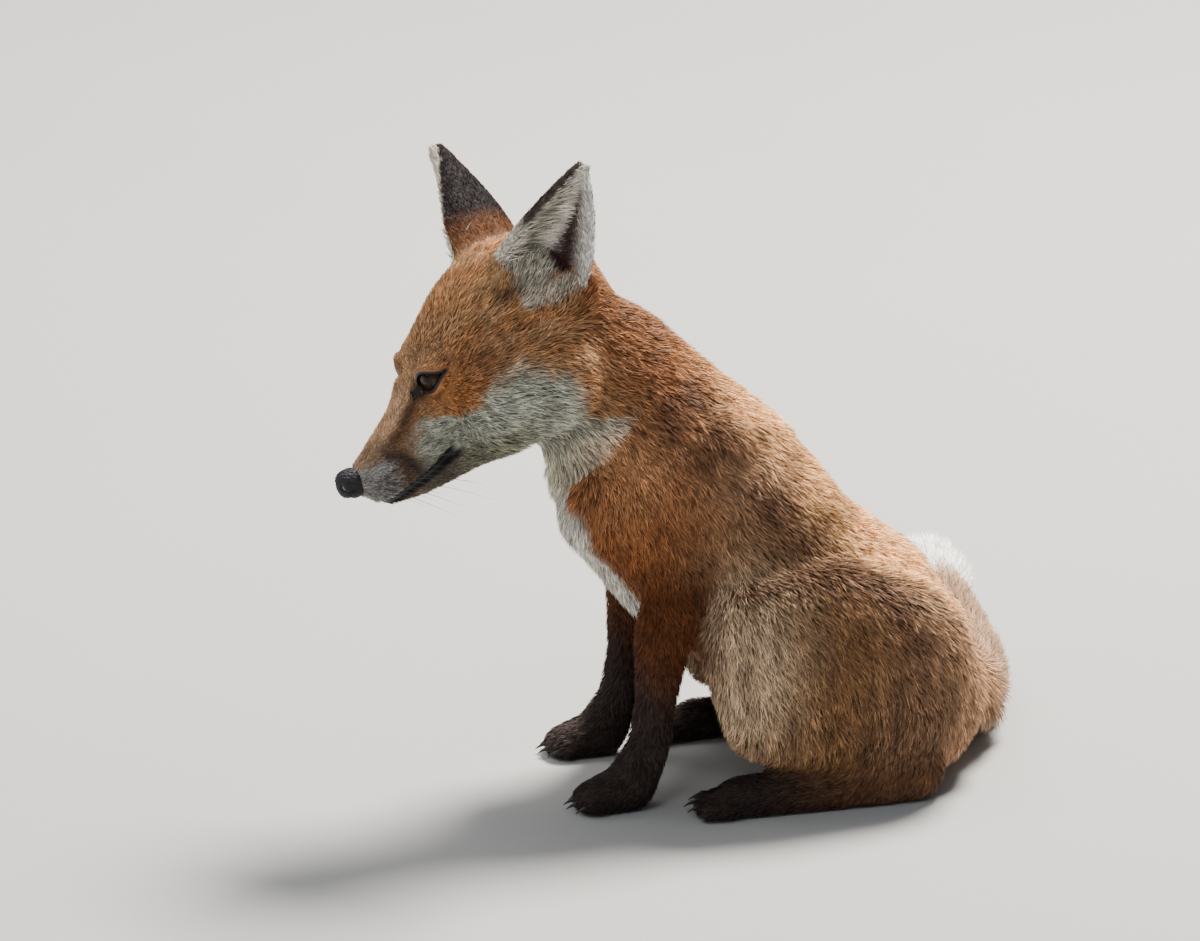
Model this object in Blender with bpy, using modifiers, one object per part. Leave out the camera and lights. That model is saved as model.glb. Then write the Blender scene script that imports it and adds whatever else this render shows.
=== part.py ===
"""A juvenile red fox sitting with its head lowered, life size, as a still model in solid pieces.

The trunk's plane of symmetry is XZ: the fox faces -X, its left side is -Y and +Z is up. The head is turned a
little to the left and looks down. Lengths are written in millimetres and turned into metres by MM.
"""

from dataclasses import dataclass
from math import acos, cos, pi, radians, sin

import bmesh
import bpy
from mathutils import Matrix, Vector

MM = 0.001

# Driving sizes, in millimetres
GAP = 0.35                  # left between neighbouring solids
MERGE = 0.04                # points closer than this are one point
FLAT_ANGLES = (3.0, 2.6, 2.2, 1.6, 0.8)   # faces that turn less than this are merged, in degrees
VOXEL = 2.2                 # size of the cells that fuse the masses into one body
SMOOTH_PASSES = 9
BODY_TRIANGLES = 3150

# The head's frame: its origin lies between the ear canals, and its roll lifts the left ear
HEAD_ORIGIN = Vector((-40.8, -6.1, 254.6))
HEAD_PITCH = radians(20.0)
HEAD_YAW = radians(16.0)
HEAD_ROLL = radians(8.0)

# Where the tail and the limbs are parted, in the body's frame
TAIL_MIDDLE_START = 92.0
TAIL_TIP_START = 178.0
FOOT_MARGIN, THIGH_MARGIN, ARM_MARGIN = 1.5, 2.5, 3.0        # how far each cut stands off the limb's masses
THIGH_INNER, SHOULDER_INNER, ARM_INNER = 22.0, 14.0, 25.0    # where each limb ends towards the midline
WRIST_HEIGHT = 24.0

# Places in the head's frame: forward, left, up
EYE_RADIUS = 9.0
EYE_ROOM = 0.6              # between the eyeball and its faceted socket
EYE_CENTRE = (58.6, 13.9, -12.8)
EYE_AXIS = (0.74, 0.66, 0.10)
EAR_WALL = 3.4
EAR_DEPTH = 14.0
EAR_TOP = 0.93              # where the rounded end stands on the way to the point that the edges aim at
EAR_FOOT = -0.22            # how far its root runs down into the head, as a share of its height

LEFT, RIGHT = 1.0, -1.0
SIDES = {"left": LEFT, "right": RIGHT}


def head_matrix():
    """The head's frame in the body's: columns are forward, left and up."""
    forward = Vector((-cos(HEAD_PITCH) * cos(HEAD_YAW), -cos(HEAD_PITCH) * sin(HEAD_YAW), -sin(HEAD_PITCH)))
    left = Vector((sin(HEAD_YAW), -cos(HEAD_YAW), 0.0))
    up = forward.cross(left)
    left, up = left * cos(HEAD_ROLL) + up * sin(HEAD_ROLL), up * cos(HEAD_ROLL) - left * sin(HEAD_ROLL)
    frame = Matrix((forward, left, up)).transposed().to_4x4()
    return Matrix.Translation(HEAD_ORIGIN) @ frame


HEAD = head_matrix()


@dataclass
class Mass:
    """An ellipsoid of flesh: its centre, its radii and how its axes are turned."""

    centre: Vector
    radii: tuple
    turn: Matrix

    def matrix(self, grow=0.0):
        scale = Matrix.Diagonal([radius + grow for radius in self.radii] + [1.0])
        return Matrix.Translation(self.centre) @ self.turn @ scale


def mass(centre, radii):
    """An ellipsoid with its axes along the body's."""
    radii = radii if isinstance(radii, tuple) else (radii, radii, radii)
    return Mass(Vector(centre), radii, Matrix.Identity(4))


def tilted(centre, radii, pitch, yaw=0.0):
    """An ellipsoid whose first axis is pitched about Y and then yawed about Z, in degrees."""
    turn = Matrix.Rotation(radians(yaw), 4, "Z") @ Matrix.Rotation(radians(pitch), 4, "Y")
    return Mass(Vector(centre), radii, turn)


def head_mass(centre, radii):
    """An ellipsoid placed in the head's frame."""
    turn = HEAD.to_3x3().to_4x4()
    return Mass(HEAD @ Vector(centre), radii, turn)


def profile_mass(top, bottom, half_width, half_length):
    """A section of the trunk: it spans two points (x, z) of the side profile."""
    high, low = Vector((top[0], 0.0, top[1])), Vector((bottom[0], 0.0, bottom[1]))
    up = (high - low).normalized()
    side = Vector((0.0, 1.0, 0.0))
    turn = Matrix((side.cross(up), side, up)).transposed().to_4x4()
    return Mass((high + low) / 2, (half_length, half_width, (high - low).length / 2), turn)


def mirrored(item):
    """The same mass on the other side of the XZ plane."""
    flip = Matrix.Diagonal((1.0, -1.0, 1.0, 1.0))
    centre = flip @ item.centre
    return Mass(centre, item.radii, flip @ item.turn @ flip)


# ---------------------------------------------------------------- the body's masses

def trunk_masses():
    """Neck, chest, loin and rump as one chain along the spine."""
    return [
        profile_mass((-15, 260), (-52, 183), 33, 20),
        profile_mass((4, 252), (-28, 175), 36, 20),
        profile_mass((26, 238), (-19, 153), 40, 24),
        profile_mass((60, 207), (-15, 127), 46, 28),
        profile_mass((95, 179.5), (12, 91), 51, 30),
        profile_mass((119, 142.5), (54, 56), 55, 30),
        profile_mass((152, 115), (100, 22), 58, 28),
        profile_mass((175, 85), (134, -3), 55, 24),
        profile_mass((185, 60), (150, -4), 42, 20),
    ]


def chest_masses():
    """The breast between the forelegs."""
    return [mass((0, 0, 143), (22, 31, 27)), mass((28, 0, 107), (22, 27, 26))]


def joining_masses():
    """Muscle that carries the neck into the skull, and the left shoulder and haunch into the back."""
    nape = [head_mass((-12, 0, -10), (28, 32, 34)), profile_mass((4, 251), (-28, 176), 36, 20)]
    withers = [mass((56, -8, 162), (32, 32, 32)), mass((38, -31, 156), (30, 18, 32))]
    loin = [mass((116, -6, 88), (34, 44, 40)), mass((126, -38, 68), (40, 28, 42))]
    croup = [mass((144, -6, 60), (30, 44, 44)), mass((140, -38, 52), (34, 28, 42))]
    return [nape, withers, loin, croup]


def foreleg_masses():
    """Left foreleg: shoulder and upper arm, then forearm and paw."""
    blade, point = mass((48, -28, 176), (24, 17, 24)), mass((5, -32, 151), (27, 21, 30))
    elbow = mass((36, -39, 119), (20, 15.5, 20))
    forearm = mass((24, -40, 88), (15, 12.5, 14))
    shank = mass((21, -39, 56), (11, 10, 11))
    wrist = mass((17, -39, 30), (11, 10.5, 11))
    heel, toes = mass((7, -40, 10), (14, 12.5, 12.5)), mass((-8, -41, 7), (10, 13, 9.5))
    return [blade, point, elbow], [elbow, forearm, shank, wrist], [wrist, heel, toes]


def hindleg_masses():
    """Left hind leg, folded: thigh, then shank, then foot."""
    hip = tilted((132, -37, 63), (46, 30, 51), 18)
    middle = tilted((98, -46, 80), (40, 26, 46), 10)
    knee = tilted((66, -53, 84), (27, 21, 37), -4)
    under_knee = mass((74, -55, 50), (25, 18, 25))
    hock = mass((146, -50, 16), (17, 13, 19))
    foot_middle = mass((100, -55, 9), (18, 12.5, 12))
    foot_front = mass((60, -58, 8), (14, 13, 11))
    return [hip, middle, knee], [knee, under_knee, hock], [hock, foot_middle, foot_front]


def toe_masses(front, spread, radius, length, side):
    """Four toes side by side at the front of a foot; front is the middle of their roots."""
    chains = []
    for place in (-1.5, -0.5, 0.5, 1.5):
        reach = length * (1.0 - 0.14 * abs(place))
        root = Vector((front[0], front[1] * side + place * spread, front[2]))
        tip = root + Vector((-reach, place * spread * 0.2, -1.5))
        chains.append([mass(root, radius), mass(tip, radius * 0.86)])
    return chains


def fore_toes(side):
    """The toes of a forepaw."""
    return toe_masses((-10, 41, 5.5), 6.4, 6.2, 11.0, side)


def hind_toes(side):
    """The toes of a hind foot."""
    return toe_masses((52, 58, 5.5), 6.4, 6.0, 12.0, side)


def face_masses():
    """Skull, brow, muzzle, jaw and cheeks, in the head's frame."""
    chains = [
        [head_mass((14, 0, -3), (40, 32, 29)), head_mass((44, 0, -9.5), (22, 24, 19))],
        [head_mass((61, 0, -26), (13, 18.5, 16.5)), head_mass((78, 0, -36.5), (13, 14.5, 16)),
         head_mass((103.5, 0, -47.5), (10.5, 10.2, 12))],
        [head_mass((103.5, 0, -47), (9, 8.8, 10)), head_mass((111.5, 0, -46.5), (7, 7.6, 8))],
        [head_mass((46, 0, -51.5), (18, 23, 16)), head_mass((81, 0, -57.2), (12, 13, 11)),
         head_mass((97, 0, -58.6), (9, 9, 7.2))],
        [head_mass((12, 0, -42), (34, 28, 28.5)), head_mass((46, 0, -48), (22, 23, 19))],
        [head_mass((14, 0, -12), (35, 33, 30)), head_mass((-13, 0, -18), (28, 31, 31.5))],
    ]
    for side in SIDES.values():
        socket, cheekbone = (55.5, side * 13, -15), (36, side * 25, -28)
        chains.append([head_mass(socket, (14.5, 11.5, 14.5)), head_mass(cheekbone, (24, 15, 24))])
        cheek, jowl = (36, side * 25, -33), (8, side * 28, -36)
        chains.append([head_mass(cheek, (24, 15, 28)), head_mass(jowl, (23, 15, 28))])
        lip, whisker_bed = (96.5, side * 6.5, -51.5), (80, side * 9, -46)
        chains.append([head_mass(lip, (13, 7.5, 9)), head_mass(whisker_bed, (13, 9.5, 13))])
        brow, temple = (56.5, side * 11.7, -8), (37, side * 18, -3.5)
        chains.append([head_mass(brow, (12, 9, 8)), head_mass(temple, (15, 11, 13))])
    return chains


def ear_root_masses():
    """The mounds that carry the ears."""
    return [
        [head_mass((2, 12, 14), (16, 13, 13)), head_mass((-15, 17, 7), (15, 14, 15)),
         head_mass((-9, 30, -5), (19, 13, 15))],
        [head_mass((8, -14, 14), (16, 13, 13)), head_mass((-9, -21, 8), (15, 14, 15)),
         head_mass((-5, -31, -4), (19, 13, 15))],
    ]


def tail_masses():
    """The tail lies on the floor, away from the fox's left side, its tip curled up a little."""
    path = [(172, 2, 36), (189, 26, 26), (196, 66, 21), (196, 112, 22), (197, 158, 23), (205, 200, 22),
            (211, 228, 17), (216, 250, 10)]
    radii = [22, 21, 23, 25, 25, 24, 18, 8.5]
    return [mass(place, radius) for place, radius in zip(path, radii)]


# ---------------------------------------------------------------- building tools

def new_collection(name):
    """A new collection in the scene."""
    made = bpy.data.collections.new(name)
    bpy.context.scene.collection.children.link(made)
    return made


def new_object(builder, name, home):
    """A new object in a collection from a bmesh in millimetres."""
    mesh = bpy.data.meshes.new(name)
    bmesh.ops.transform(builder, matrix=Matrix.Scale(MM, 4), verts=builder.verts)
    builder.to_mesh(mesh)
    builder.free()
    made = bpy.data.objects.new(name, mesh)
    home.objects.link(made)
    return made


def add_hull(builder, items, grow=0.0, detail=3):
    """Adds the convex hull of some ellipsoids."""
    hull = bmesh.new()
    for item in items:
        bmesh.ops.create_icosphere(hull, subdivisions=detail, radius=1.0, matrix=item.matrix(grow))
    bmesh.ops.delete(hull, geom=hull.faces[:], context="FACES_ONLY")
    bmesh.ops.delete(hull, geom=hull.edges[:], context="EDGES_FACES")
    bmesh.ops.convex_hull(hull, input=hull.verts[:], use_existing_faces=False)
    bmesh.ops.delete(hull, geom=[point for point in hull.verts if not point.link_faces], context="VERTS")
    bmesh.ops.recalc_face_normals(hull, faces=hull.faces)
    mesh = bpy.data.meshes.new("hull")
    hull.to_mesh(mesh)
    hull.free()
    builder.from_mesh(mesh)
    bpy.data.meshes.remove(mesh)


def add_chain(builder, items, grow=0.0, detail=3):
    """Adds a tapering limb: the hull of each ellipsoid with the next."""
    for pair in zip(items, items[1:]):
        add_hull(builder, pair, grow, detail)


def applied(obj):
    """Turns the object's modifiers into its mesh."""
    bpy.context.view_layer.update()
    graph = bpy.context.evaluated_depsgraph_get()
    mesh = bpy.data.meshes.new_from_object(obj.evaluated_get(graph))
    obj.modifiers.clear()
    obj.data = mesh
    return obj


def fused(obj, voxel, passes):
    """Melts overlapping masses into one smooth body."""
    remesh = obj.modifiers.new("fuse", "REMESH")
    remesh.mode = "VOXEL"
    remesh.voxel_size = voxel * MM
    smooth = obj.modifiers.new("smooth", "SMOOTH")
    smooth.factor = 0.5
    smooth.iterations = passes
    return applied(obj)


def thinned(obj, triangles):
    """Collapses edges until about this many triangles are left."""
    faces = sum(len(face.vertices) - 2 for face in obj.data.polygons)
    if faces > triangles:
        collapse = obj.modifiers.new("thin", "DECIMATE")
        collapse.ratio = triangles / faces
        collapse.use_collapse_triangulate = True
        applied(obj)
    return obj


def keep_largest(obj):
    """Drops every island of the mesh but the largest, and merges points that coincide."""
    builder = bmesh.new()
    builder.from_mesh(obj.data)
    bmesh.ops.remove_doubles(builder, verts=builder.verts, dist=MERGE * MM)
    bmesh.ops.dissolve_degenerate(builder, edges=builder.edges, dist=MERGE * MM)
    left = set(builder.verts)
    islands = []
    while left:
        seen, edge = set(), {left.pop()}
        while edge:
            seen |= edge
            edge = {other for point in edge for link in point.link_edges for other in link.verts} - seen
        islands.append(seen)
        left -= seen
    islands.sort(key=len)
    for island in islands[:-1]:
        bmesh.ops.delete(builder, geom=list(island), context="VERTS")
    builder.to_mesh(obj.data)
    builder.free()
    return obj


def is_closed(mesh):
    """Whether each edge joins just two faces."""
    builder = bmesh.new()
    builder.from_mesh(mesh)
    closed = all(len(edge.link_faces) == 2 for edge in builder.edges)
    builder.free()
    return closed


def tidied(obj):
    """Merges faces that nearly lie in one plane, where that leaves the solid closed, and makes triangles."""
    whole = obj.data.copy()
    for angle in FLAT_ANGLES:
        obj.data = whole.copy()
        flat = obj.modifiers.new("flat", "DECIMATE")
        flat.decimate_type = "DISSOLVE"
        flat.angle_limit = radians(angle)
        obj.modifiers.new("split", "TRIANGULATE")
        keep_largest(applied(obj))
        if is_closed(obj.data):
            return obj
    obj.data = whole
    obj.modifiers.new("split", "TRIANGULATE")
    return applied(obj)


def boolean(obj, cutter, operation):
    """Cuts an object by another, or keeps what they share."""
    knife = obj.modifiers.new("cut", "BOOLEAN")
    knife.object = cutter
    knife.operation = operation
    knife.solver = "EXACT"
    return keep_largest(applied(obj))


class Fox:
    """Holds the two collections and parts the body into its nodes."""

    def __init__(self):
        self.parts = new_collection("fox")
        self.cutters = new_collection("cutters")
        self.cutters.hide_render = True

    def helper(self, builder, name):
        """A mesh that only cuts."""
        obj = new_object(builder, name, self.cutters)
        obj.hide_render = True
        obj.display_type = "WIRE"
        return obj

    def split(self, body, name, region):
        """Takes what lies inside a region out of the body, as a node; region(grow) fills a bmesh."""
        inner, outer = bmesh.new(), bmesh.new()
        region(inner, 0.0)
        region(outer, GAP)
        inside = self.helper(inner, f"cut_{name}")
        outside = self.helper(outer, f"cut_{name}_clear")
        piece = bpy.data.objects.new(name, body.data.copy())
        self.parts.objects.link(piece)
        boolean(piece, inside, "INTERSECT")
        boolean(body, outside, "DIFFERENCE")
        return piece

    def carve(self, body, name, region):
        """Cuts a region out of the body."""
        builder = bmesh.new()
        region(builder)
        boolean(body, self.helper(builder, f"cut_{name}"), "DIFFERENCE")


def half_space(point, normal, size=700.0):
    """A region function: a large box whose face passes through a point, on the side of the normal."""
    normal = Vector(normal).normalized()
    turn = normal.to_track_quat("Z", "Y").to_matrix().to_4x4()

    def region(builder, grow):
        centre = Vector(point) + normal * (size / 2 - grow)
        bmesh.ops.create_cube(builder, size=size, matrix=Matrix.Translation(centre) @ turn)

    return region


def box_region(low, high, frame):
    """A region function: a box between two corners of a frame."""
    low, high = Vector(low), Vector(high)

    def region(builder, grow):
        margin = Vector((grow, grow, grow))
        size = high - low + 2 * margin
        place = frame @ Matrix.Translation((low + high) / 2) @ Matrix.Diagonal((*size, 1.0))
        bmesh.ops.create_cube(builder, size=1.0, matrix=place)

    return region


def hull_region(items, margin, inner=None, side=LEFT):
    """A region function: the hull of some masses, grown by a margin and kept beyond a distance along Y."""
    def region(builder, grow):
        add_hull(builder, items, margin + grow, 2)
        if inner is None:
            return
        everything = builder.verts[:] + builder.edges[:] + builder.faces[:]
        start = (0, side * (inner - grow), 0)
        sliced = bmesh.ops.bisect_plane(builder, geom=everything, dist=1e-4, plane_co=start,
                                        plane_no=(0, side, 0), clear_inner=True)
        rim = [piece for piece in sliced["geom_cut"] if isinstance(piece, bmesh.types.BMEdge)]
        bmesh.ops.contextual_create(builder, geom=rim)
        bmesh.ops.recalc_face_normals(builder, faces=builder.faces)

    return region


def jaw_region():
    """The region under the line of the mouth."""
    corner, front = Vector((62, 0, -47)), Vector((108, 0, -61))
    slope = acos((front - corner).normalized().x)
    frame = HEAD @ Matrix.Translation(corner) @ Matrix.Rotation(slope, 4, "Y")
    return box_region((0, -40, -40), (80, 40, 0), frame)


def tail_region():
    """The region behind the right haunch that holds the tail."""
    return hull_region(tail_masses()[1:], 2.0)


# ---------------------------------------------------------------- the ears

@dataclass
class Ear:
    """An ear as a scoop between its front and rear edges, in the head's frame."""

    name: str
    front: Vector
    rear: Vector
    tip: Vector
    side: float
    front_swell: float
    rear_swell: float
    lean: float             # how far the deepest line lies towards the front edge, as a share of the depth
    rows: int = 12
    columns: int = 11

    def edges(self, along):
        """The front and rear edge at a height between root (0) and tip (1)."""
        across = self.front - self.rear
        swell = sin(pi * max(along, 0.0) ** 0.85)
        front = self.front.lerp(self.tip, along) + across * self.front_swell * swell
        rear = self.rear.lerp(self.tip, along) - across * self.rear_swell * swell
        return front, rear

    def opening(self):
        """The direction that the scoop faces."""
        axis = self.tip - (self.front + self.rear) / 2
        return axis.cross(self.front - self.rear).normalized() * self.side

    def point(self, along, round_):
        """A point of the scoop: along from root to tip, round from front edge (0) to rear edge (1)."""
        front, rear = self.edges(along)
        depth = EAR_DEPTH * max(1.0 - max(along, 0.0), 0.0) ** 0.75
        turn = pi * round_
        middle, half = (front + rear) / 2, (front - rear) / 2
        hollow = (half.normalized() * self.lean - self.opening()) * depth
        return HEAD @ (middle + half * cos(turn) + hollow * sin(turn))

    def build(self, fox):
        """The scoop as a solid; its root runs down into the head, where it is cut off."""
        builder = bmesh.new()
        rows = []
        for row in range(self.rows):
            along = EAR_FOOT + (EAR_TOP - EAR_FOOT) * row / (self.rows - 1)
            rows.append([builder.verts.new(self.point(along, column / (self.columns - 1)))
                         for column in range(self.columns)])
        for low, high in zip(rows, rows[1:]):
            for first in range(self.columns - 1):
                builder.faces.new((low[first], low[first + 1], high[first + 1], high[first]))
        bmesh.ops.recalc_face_normals(builder, faces=builder.faces)
        obj = new_object(builder, self.name, fox.parts)
        wall = obj.modifiers.new("wall", "SOLIDIFY")
        wall.thickness = EAR_WALL * MM
        wall.offset = 0.0
        wall.use_even_offset = False
        return applied(obj)


EARS = (
    Ear("ear_left", front=Vector((5, 21, 26)), rear=Vector((-19, 40, -1)), tip=Vector((-37, 60.5, 62)),
        side=LEFT, front_swell=0.03, rear_swell=0.11, lean=0.9),
    Ear("ear_right", front=Vector((18, -20, 27)), rear=Vector((-18, -43, 5)), tip=Vector((-8.5, -64.5, 68)),
        side=RIGHT, front_swell=0.03, rear_swell=0.15, lean=-0.15),
)


# ---------------------------------------------------------------- finishes

def material(name, colour, roughness):
    """A plain material for one node."""
    made = bpy.data.materials.new(name)
    made.use_nodes = True
    shader = made.node_tree.nodes["Principled BSDF"]
    shader.inputs["Base Color"].default_value = (*colour, 1.0)
    shader.inputs["Roughness"].default_value = roughness
    made.diffuse_color = (*colour, 1.0)
    return made


RUST = (0.42, 0.17, 0.06)
BROWN = (0.24, 0.12, 0.06)
DARK = (0.05, 0.035, 0.03)
PALE = (0.62, 0.57, 0.50)
SANDY = (0.46, 0.27, 0.15)
BLACK = (0.015, 0.014, 0.016)

# What each node's name begins with: its colour and roughness
FINISHES = {
    "head": (RUST, 0.85), "lower_jaw": (PALE, 0.85), "nose": (BLACK, 0.35), "eye": (DARK, 0.05),
    "ear": (DARK, 0.9), "neck": (BROWN, 0.85), "trunk": (BROWN, 0.85), "shoulder": (RUST, 0.85),
    "forearm": (RUST, 0.85), "forepaw": (DARK, 0.85), "thigh": (BROWN, 0.85), "hindfoot": (DARK, 0.85),
    "tail_root": (SANDY, 0.85), "tail_middle": (SANDY, 0.85), "tail_tip": (PALE, 0.85),
}


def finish(obj):
    """Gives an object its own material and rounds its shading."""
    colour, roughness = next(FINISHES[start] for start in FINISHES if obj.name.startswith(start))
    obj.data.materials.clear()
    obj.data.materials.append(material(f"{obj.name}_coat", colour, roughness))
    obj.data.shade_smooth()
    obj.data.set_sharp_from_angle(angle=radians(50.0))


def centred(parts):
    """Moves all parts together, until the origin is on the floor at the centre of the fox's bounding box."""
    points = [point.co for part in parts for point in part.data.vertices]
    low = [min(point[axis] for point in points) for axis in range(3)]
    high = [max(point[axis] for point in points) for axis in range(3)]
    shift = Matrix.Translation((-(low[0] + high[0]) / 2, -(low[1] + high[1]) / 2, -low[2]))
    for part in parts:
        part.data.transform(shift)


# ---------------------------------------------------------------- the fox

def whole_body(fox):
    """All flesh but the ears as one closed body, pressed flat where it lies on the floor."""
    builder = bmesh.new()
    chains = [trunk_masses(), chest_masses(), tail_masses()]
    chains += face_masses() + ear_root_masses()
    for chain in [*foreleg_masses(), *hindleg_masses(), *joining_masses()]:
        chains += [chain, [mirrored(item) for item in chain]]
    for side in (-1.0, 1.0):
        chains += fore_toes(side) + hind_toes(side)
    for chain in chains:
        add_chain(builder, chain)
    body = new_object(builder, "trunk", fox.parts)
    thinned(fused(body, VOXEL, SMOOTH_PASSES), BODY_TRIANGLES)
    fox.carve(body, "floor", lambda maker: half_space((0, 0, 0), (0, 0, -1))(maker, 0.0))
    return body


def add_eyes(fox, head):
    """Eyeballs in sockets that open outwards."""
    for side_name, side in SIDES.items():
        centre = Vector((EYE_CENTRE[0], EYE_CENTRE[1] * side, EYE_CENTRE[2]))
        axis = Vector((EYE_AXIS[0], EYE_AXIS[1] * side, EYE_AXIS[2])).normalized()
        ball = head_mass(centre, (EYE_RADIUS, EYE_RADIUS, EYE_RADIUS))
        mouth = head_mass(centre + axis * EYE_RADIUS * 1.3, (EYE_RADIUS * 0.8,) * 3)
        fox.carve(head, f"socket_{side_name}", lambda maker: add_hull(maker, [ball, mouth], EYE_ROOM))
        builder = bmesh.new()
        bmesh.ops.create_uvsphere(builder, u_segments=14, v_segments=9, radius=1.0, matrix=ball.matrix())
        new_object(builder, f"eye_{side_name}", fox.parts)


def add_nose(fox, head):
    """The nose pad, set into the end of the muzzle."""
    pad = [head_mass((115.2, 0, -46), (6.8, 6.9, 7.4)), head_mass((107.8, 0, -45), (5, 6, 6))]
    fox.carve(head, "nose_seat", lambda maker: add_hull(maker, pad, GAP, 2))
    builder = bmesh.new()
    add_hull(builder, pad, 0.0, 2)
    new_object(builder, "nose", fox.parts)


def add_ears(fox, body):
    """The ears stand on the head: each scoop is cut off a gap above it."""
    clear = bpy.data.objects.new("cut_ears", body.data.copy())
    fox.cutters.objects.link(clear)
    clear.hide_render = True
    clear.display_type = "WIRE"
    swell = clear.modifiers.new("gap", "DISPLACE")
    swell.strength = GAP * MM
    swell.mid_level = 0.0
    applied(clear)
    for ear in EARS:
        boolean(ear.build(fox), clear, "DIFFERENCE")


def split_legs(fox, body):
    """Takes the legs off the trunk: feet first, then what they hang from."""
    for side_name, side in SIDES.items():
        pick = (lambda item: item) if side_name == "left" else mirrored
        upper, lower, paw = ([pick(item) for item in chain] for chain in foreleg_masses())
        thigh, shank, foot = ([pick(item) for item in chain] for chain in hindleg_masses())
        toes = hind_toes(-side)
        foot_and_toes = foot + [chain[1] for chain in toes]
        haunch, arm = thigh + shank[1:], lower + paw
        fox.split(body, f"hindfoot_{side_name}", hull_region(foot_and_toes, FOOT_MARGIN))
        fox.split(body, f"thigh_{side_name}", hull_region(haunch, THIGH_MARGIN, THIGH_INNER, -side))
        fox.split(body, f"shoulder_{side_name}", hull_region(upper, THIGH_MARGIN, SHOULDER_INNER, -side))
        forearm = fox.split(body, f"forearm_{side_name}", hull_region(arm, ARM_MARGIN, ARM_INNER, -side))
        fox.split(forearm, f"forepaw_{side_name}", half_space((17, 0, WRIST_HEIGHT), (-0.2, 0, -1)))


def main():
    """Makes the whole body, parts it and stands it on the floor."""
    for obj in list(bpy.data.objects):
        bpy.data.objects.remove(obj, do_unlink=True)
    fox = Fox()
    body = whole_body(fox)
    add_ears(fox, body)
    nape, forward = HEAD @ Vector((-25, 0, 20)), HEAD.to_3x3() @ Vector((0.88, 0, 0.48))
    head = fox.split(body, "head", half_space(nape, forward))
    add_eyes(fox, head)
    add_nose(fox, head)
    fox.split(head, "lower_jaw", jaw_region())
    fox.split(body, "neck", half_space((30, 0, 232), (-0.8, 0, 0.6)))
    tail = fox.split(body, "tail_root", tail_region())
    rest = fox.split(tail, "tail_middle", half_space((0, TAIL_MIDDLE_START, 0), (0, 1, 0)))
    fox.split(rest, "tail_tip", half_space((0, TAIL_TIP_START, 0), (0, 1, 0)))
    split_legs(fox, body)
    for obj in fox.parts.objects:
        finish(tidied(obj))
    centred(fox.parts.objects)


main()
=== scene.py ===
"""A young red fox sitting with its head lowered: skin, coat, eyes, nose, claws and whiskers round the solids.

Lengths in this file are in millimetres in the fox's own frames, and become metres as meshes are made. The
body's frame has its origin on the floor between the forepaws: the fox faces -X, its left side is -Y and +Z is
up. The head's frame lies between the ear canals: forward, left and up.
"""

import logging
import math
from collections.abc import Sequence
from dataclasses import dataclass, field
from enum import Enum
from typing import Any

import bmesh
import bpy
import numpy as np
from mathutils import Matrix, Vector
from mathutils.bvhtree import BVHTree
from mathutils.kdtree import KDTree


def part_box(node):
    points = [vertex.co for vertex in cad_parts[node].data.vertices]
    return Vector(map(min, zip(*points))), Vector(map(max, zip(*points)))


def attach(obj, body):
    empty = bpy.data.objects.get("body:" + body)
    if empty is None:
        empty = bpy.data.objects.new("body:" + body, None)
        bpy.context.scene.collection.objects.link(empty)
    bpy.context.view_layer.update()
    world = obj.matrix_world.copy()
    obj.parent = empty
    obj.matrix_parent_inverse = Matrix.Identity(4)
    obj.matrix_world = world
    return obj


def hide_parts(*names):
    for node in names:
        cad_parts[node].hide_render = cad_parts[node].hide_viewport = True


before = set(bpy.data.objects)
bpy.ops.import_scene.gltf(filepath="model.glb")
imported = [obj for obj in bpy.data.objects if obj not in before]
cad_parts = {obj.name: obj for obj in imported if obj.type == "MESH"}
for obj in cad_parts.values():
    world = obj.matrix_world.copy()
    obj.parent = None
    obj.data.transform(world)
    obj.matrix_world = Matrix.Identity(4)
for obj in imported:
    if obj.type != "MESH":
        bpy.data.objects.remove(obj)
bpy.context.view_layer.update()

MM = 0.001
LOG = logging.getLogger("fox")
SEED = 4127
BODY = "root"
Array = np.ndarray
Colour = tuple[float, float, float]
Place = tuple[float, float, float]

# The head's frame in the body's
HEAD_ORIGIN = (-40.8, -6.1, 254.6)
HEAD_PITCH = math.radians(20.0)
HEAD_YAW = math.radians(16.0)
HEAD_ROLL = math.radians(8.0)

# The eyes in the head's frame, for the left side
EYE_CENTRE = (58.6, 13.9, -12.8)
EYE_AXIS = (0.74, 0.66, 0.10)
EYE_RADIUS = 9.0
EYE_BETWEEN = (58.6, 0.0, -12.8)
EYE_INWARD = (0.86, -0.47, -0.20)
BEHIND_EYE = 20.0

# The mouth and the nose in the head's frame: the lips' plane, where the bare lips start, and the pad's bed
MOUTH_DROP = 47.0
MOUTH_START = 62.0
MOUTH_SLOPE = 14.0 / 46.0
MOUTH_TILT = 0.957
LIP_TOP = -42.0
LIP_MIDDLE = -0.9
PAD_BED = (114.6, 0.0, -45.8)

# The bed of the whiskers on the muzzle: where it starts, and its steps
WHISKER_ROWS = 4
BED_FRONT = 89.0
BED_TOP = -44.5


class Side(Enum):
    """The fox's two sides, and the sign of each in the head's frame."""

    LEFT = 1.0
    RIGHT = -1.0

    @property
    def word(self) -> str:
        """The side's name in the names of nodes."""
        return self.name.lower()


# --- Small vector tools

def unit(vectors: Any) -> Array:
    """Scales vectors, along the last axis, to length one."""
    vectors = np.asarray(vectors, float)
    return vectors / np.maximum(np.linalg.norm(vectors, axis=-1, keepdims=True), 1e-9)


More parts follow.
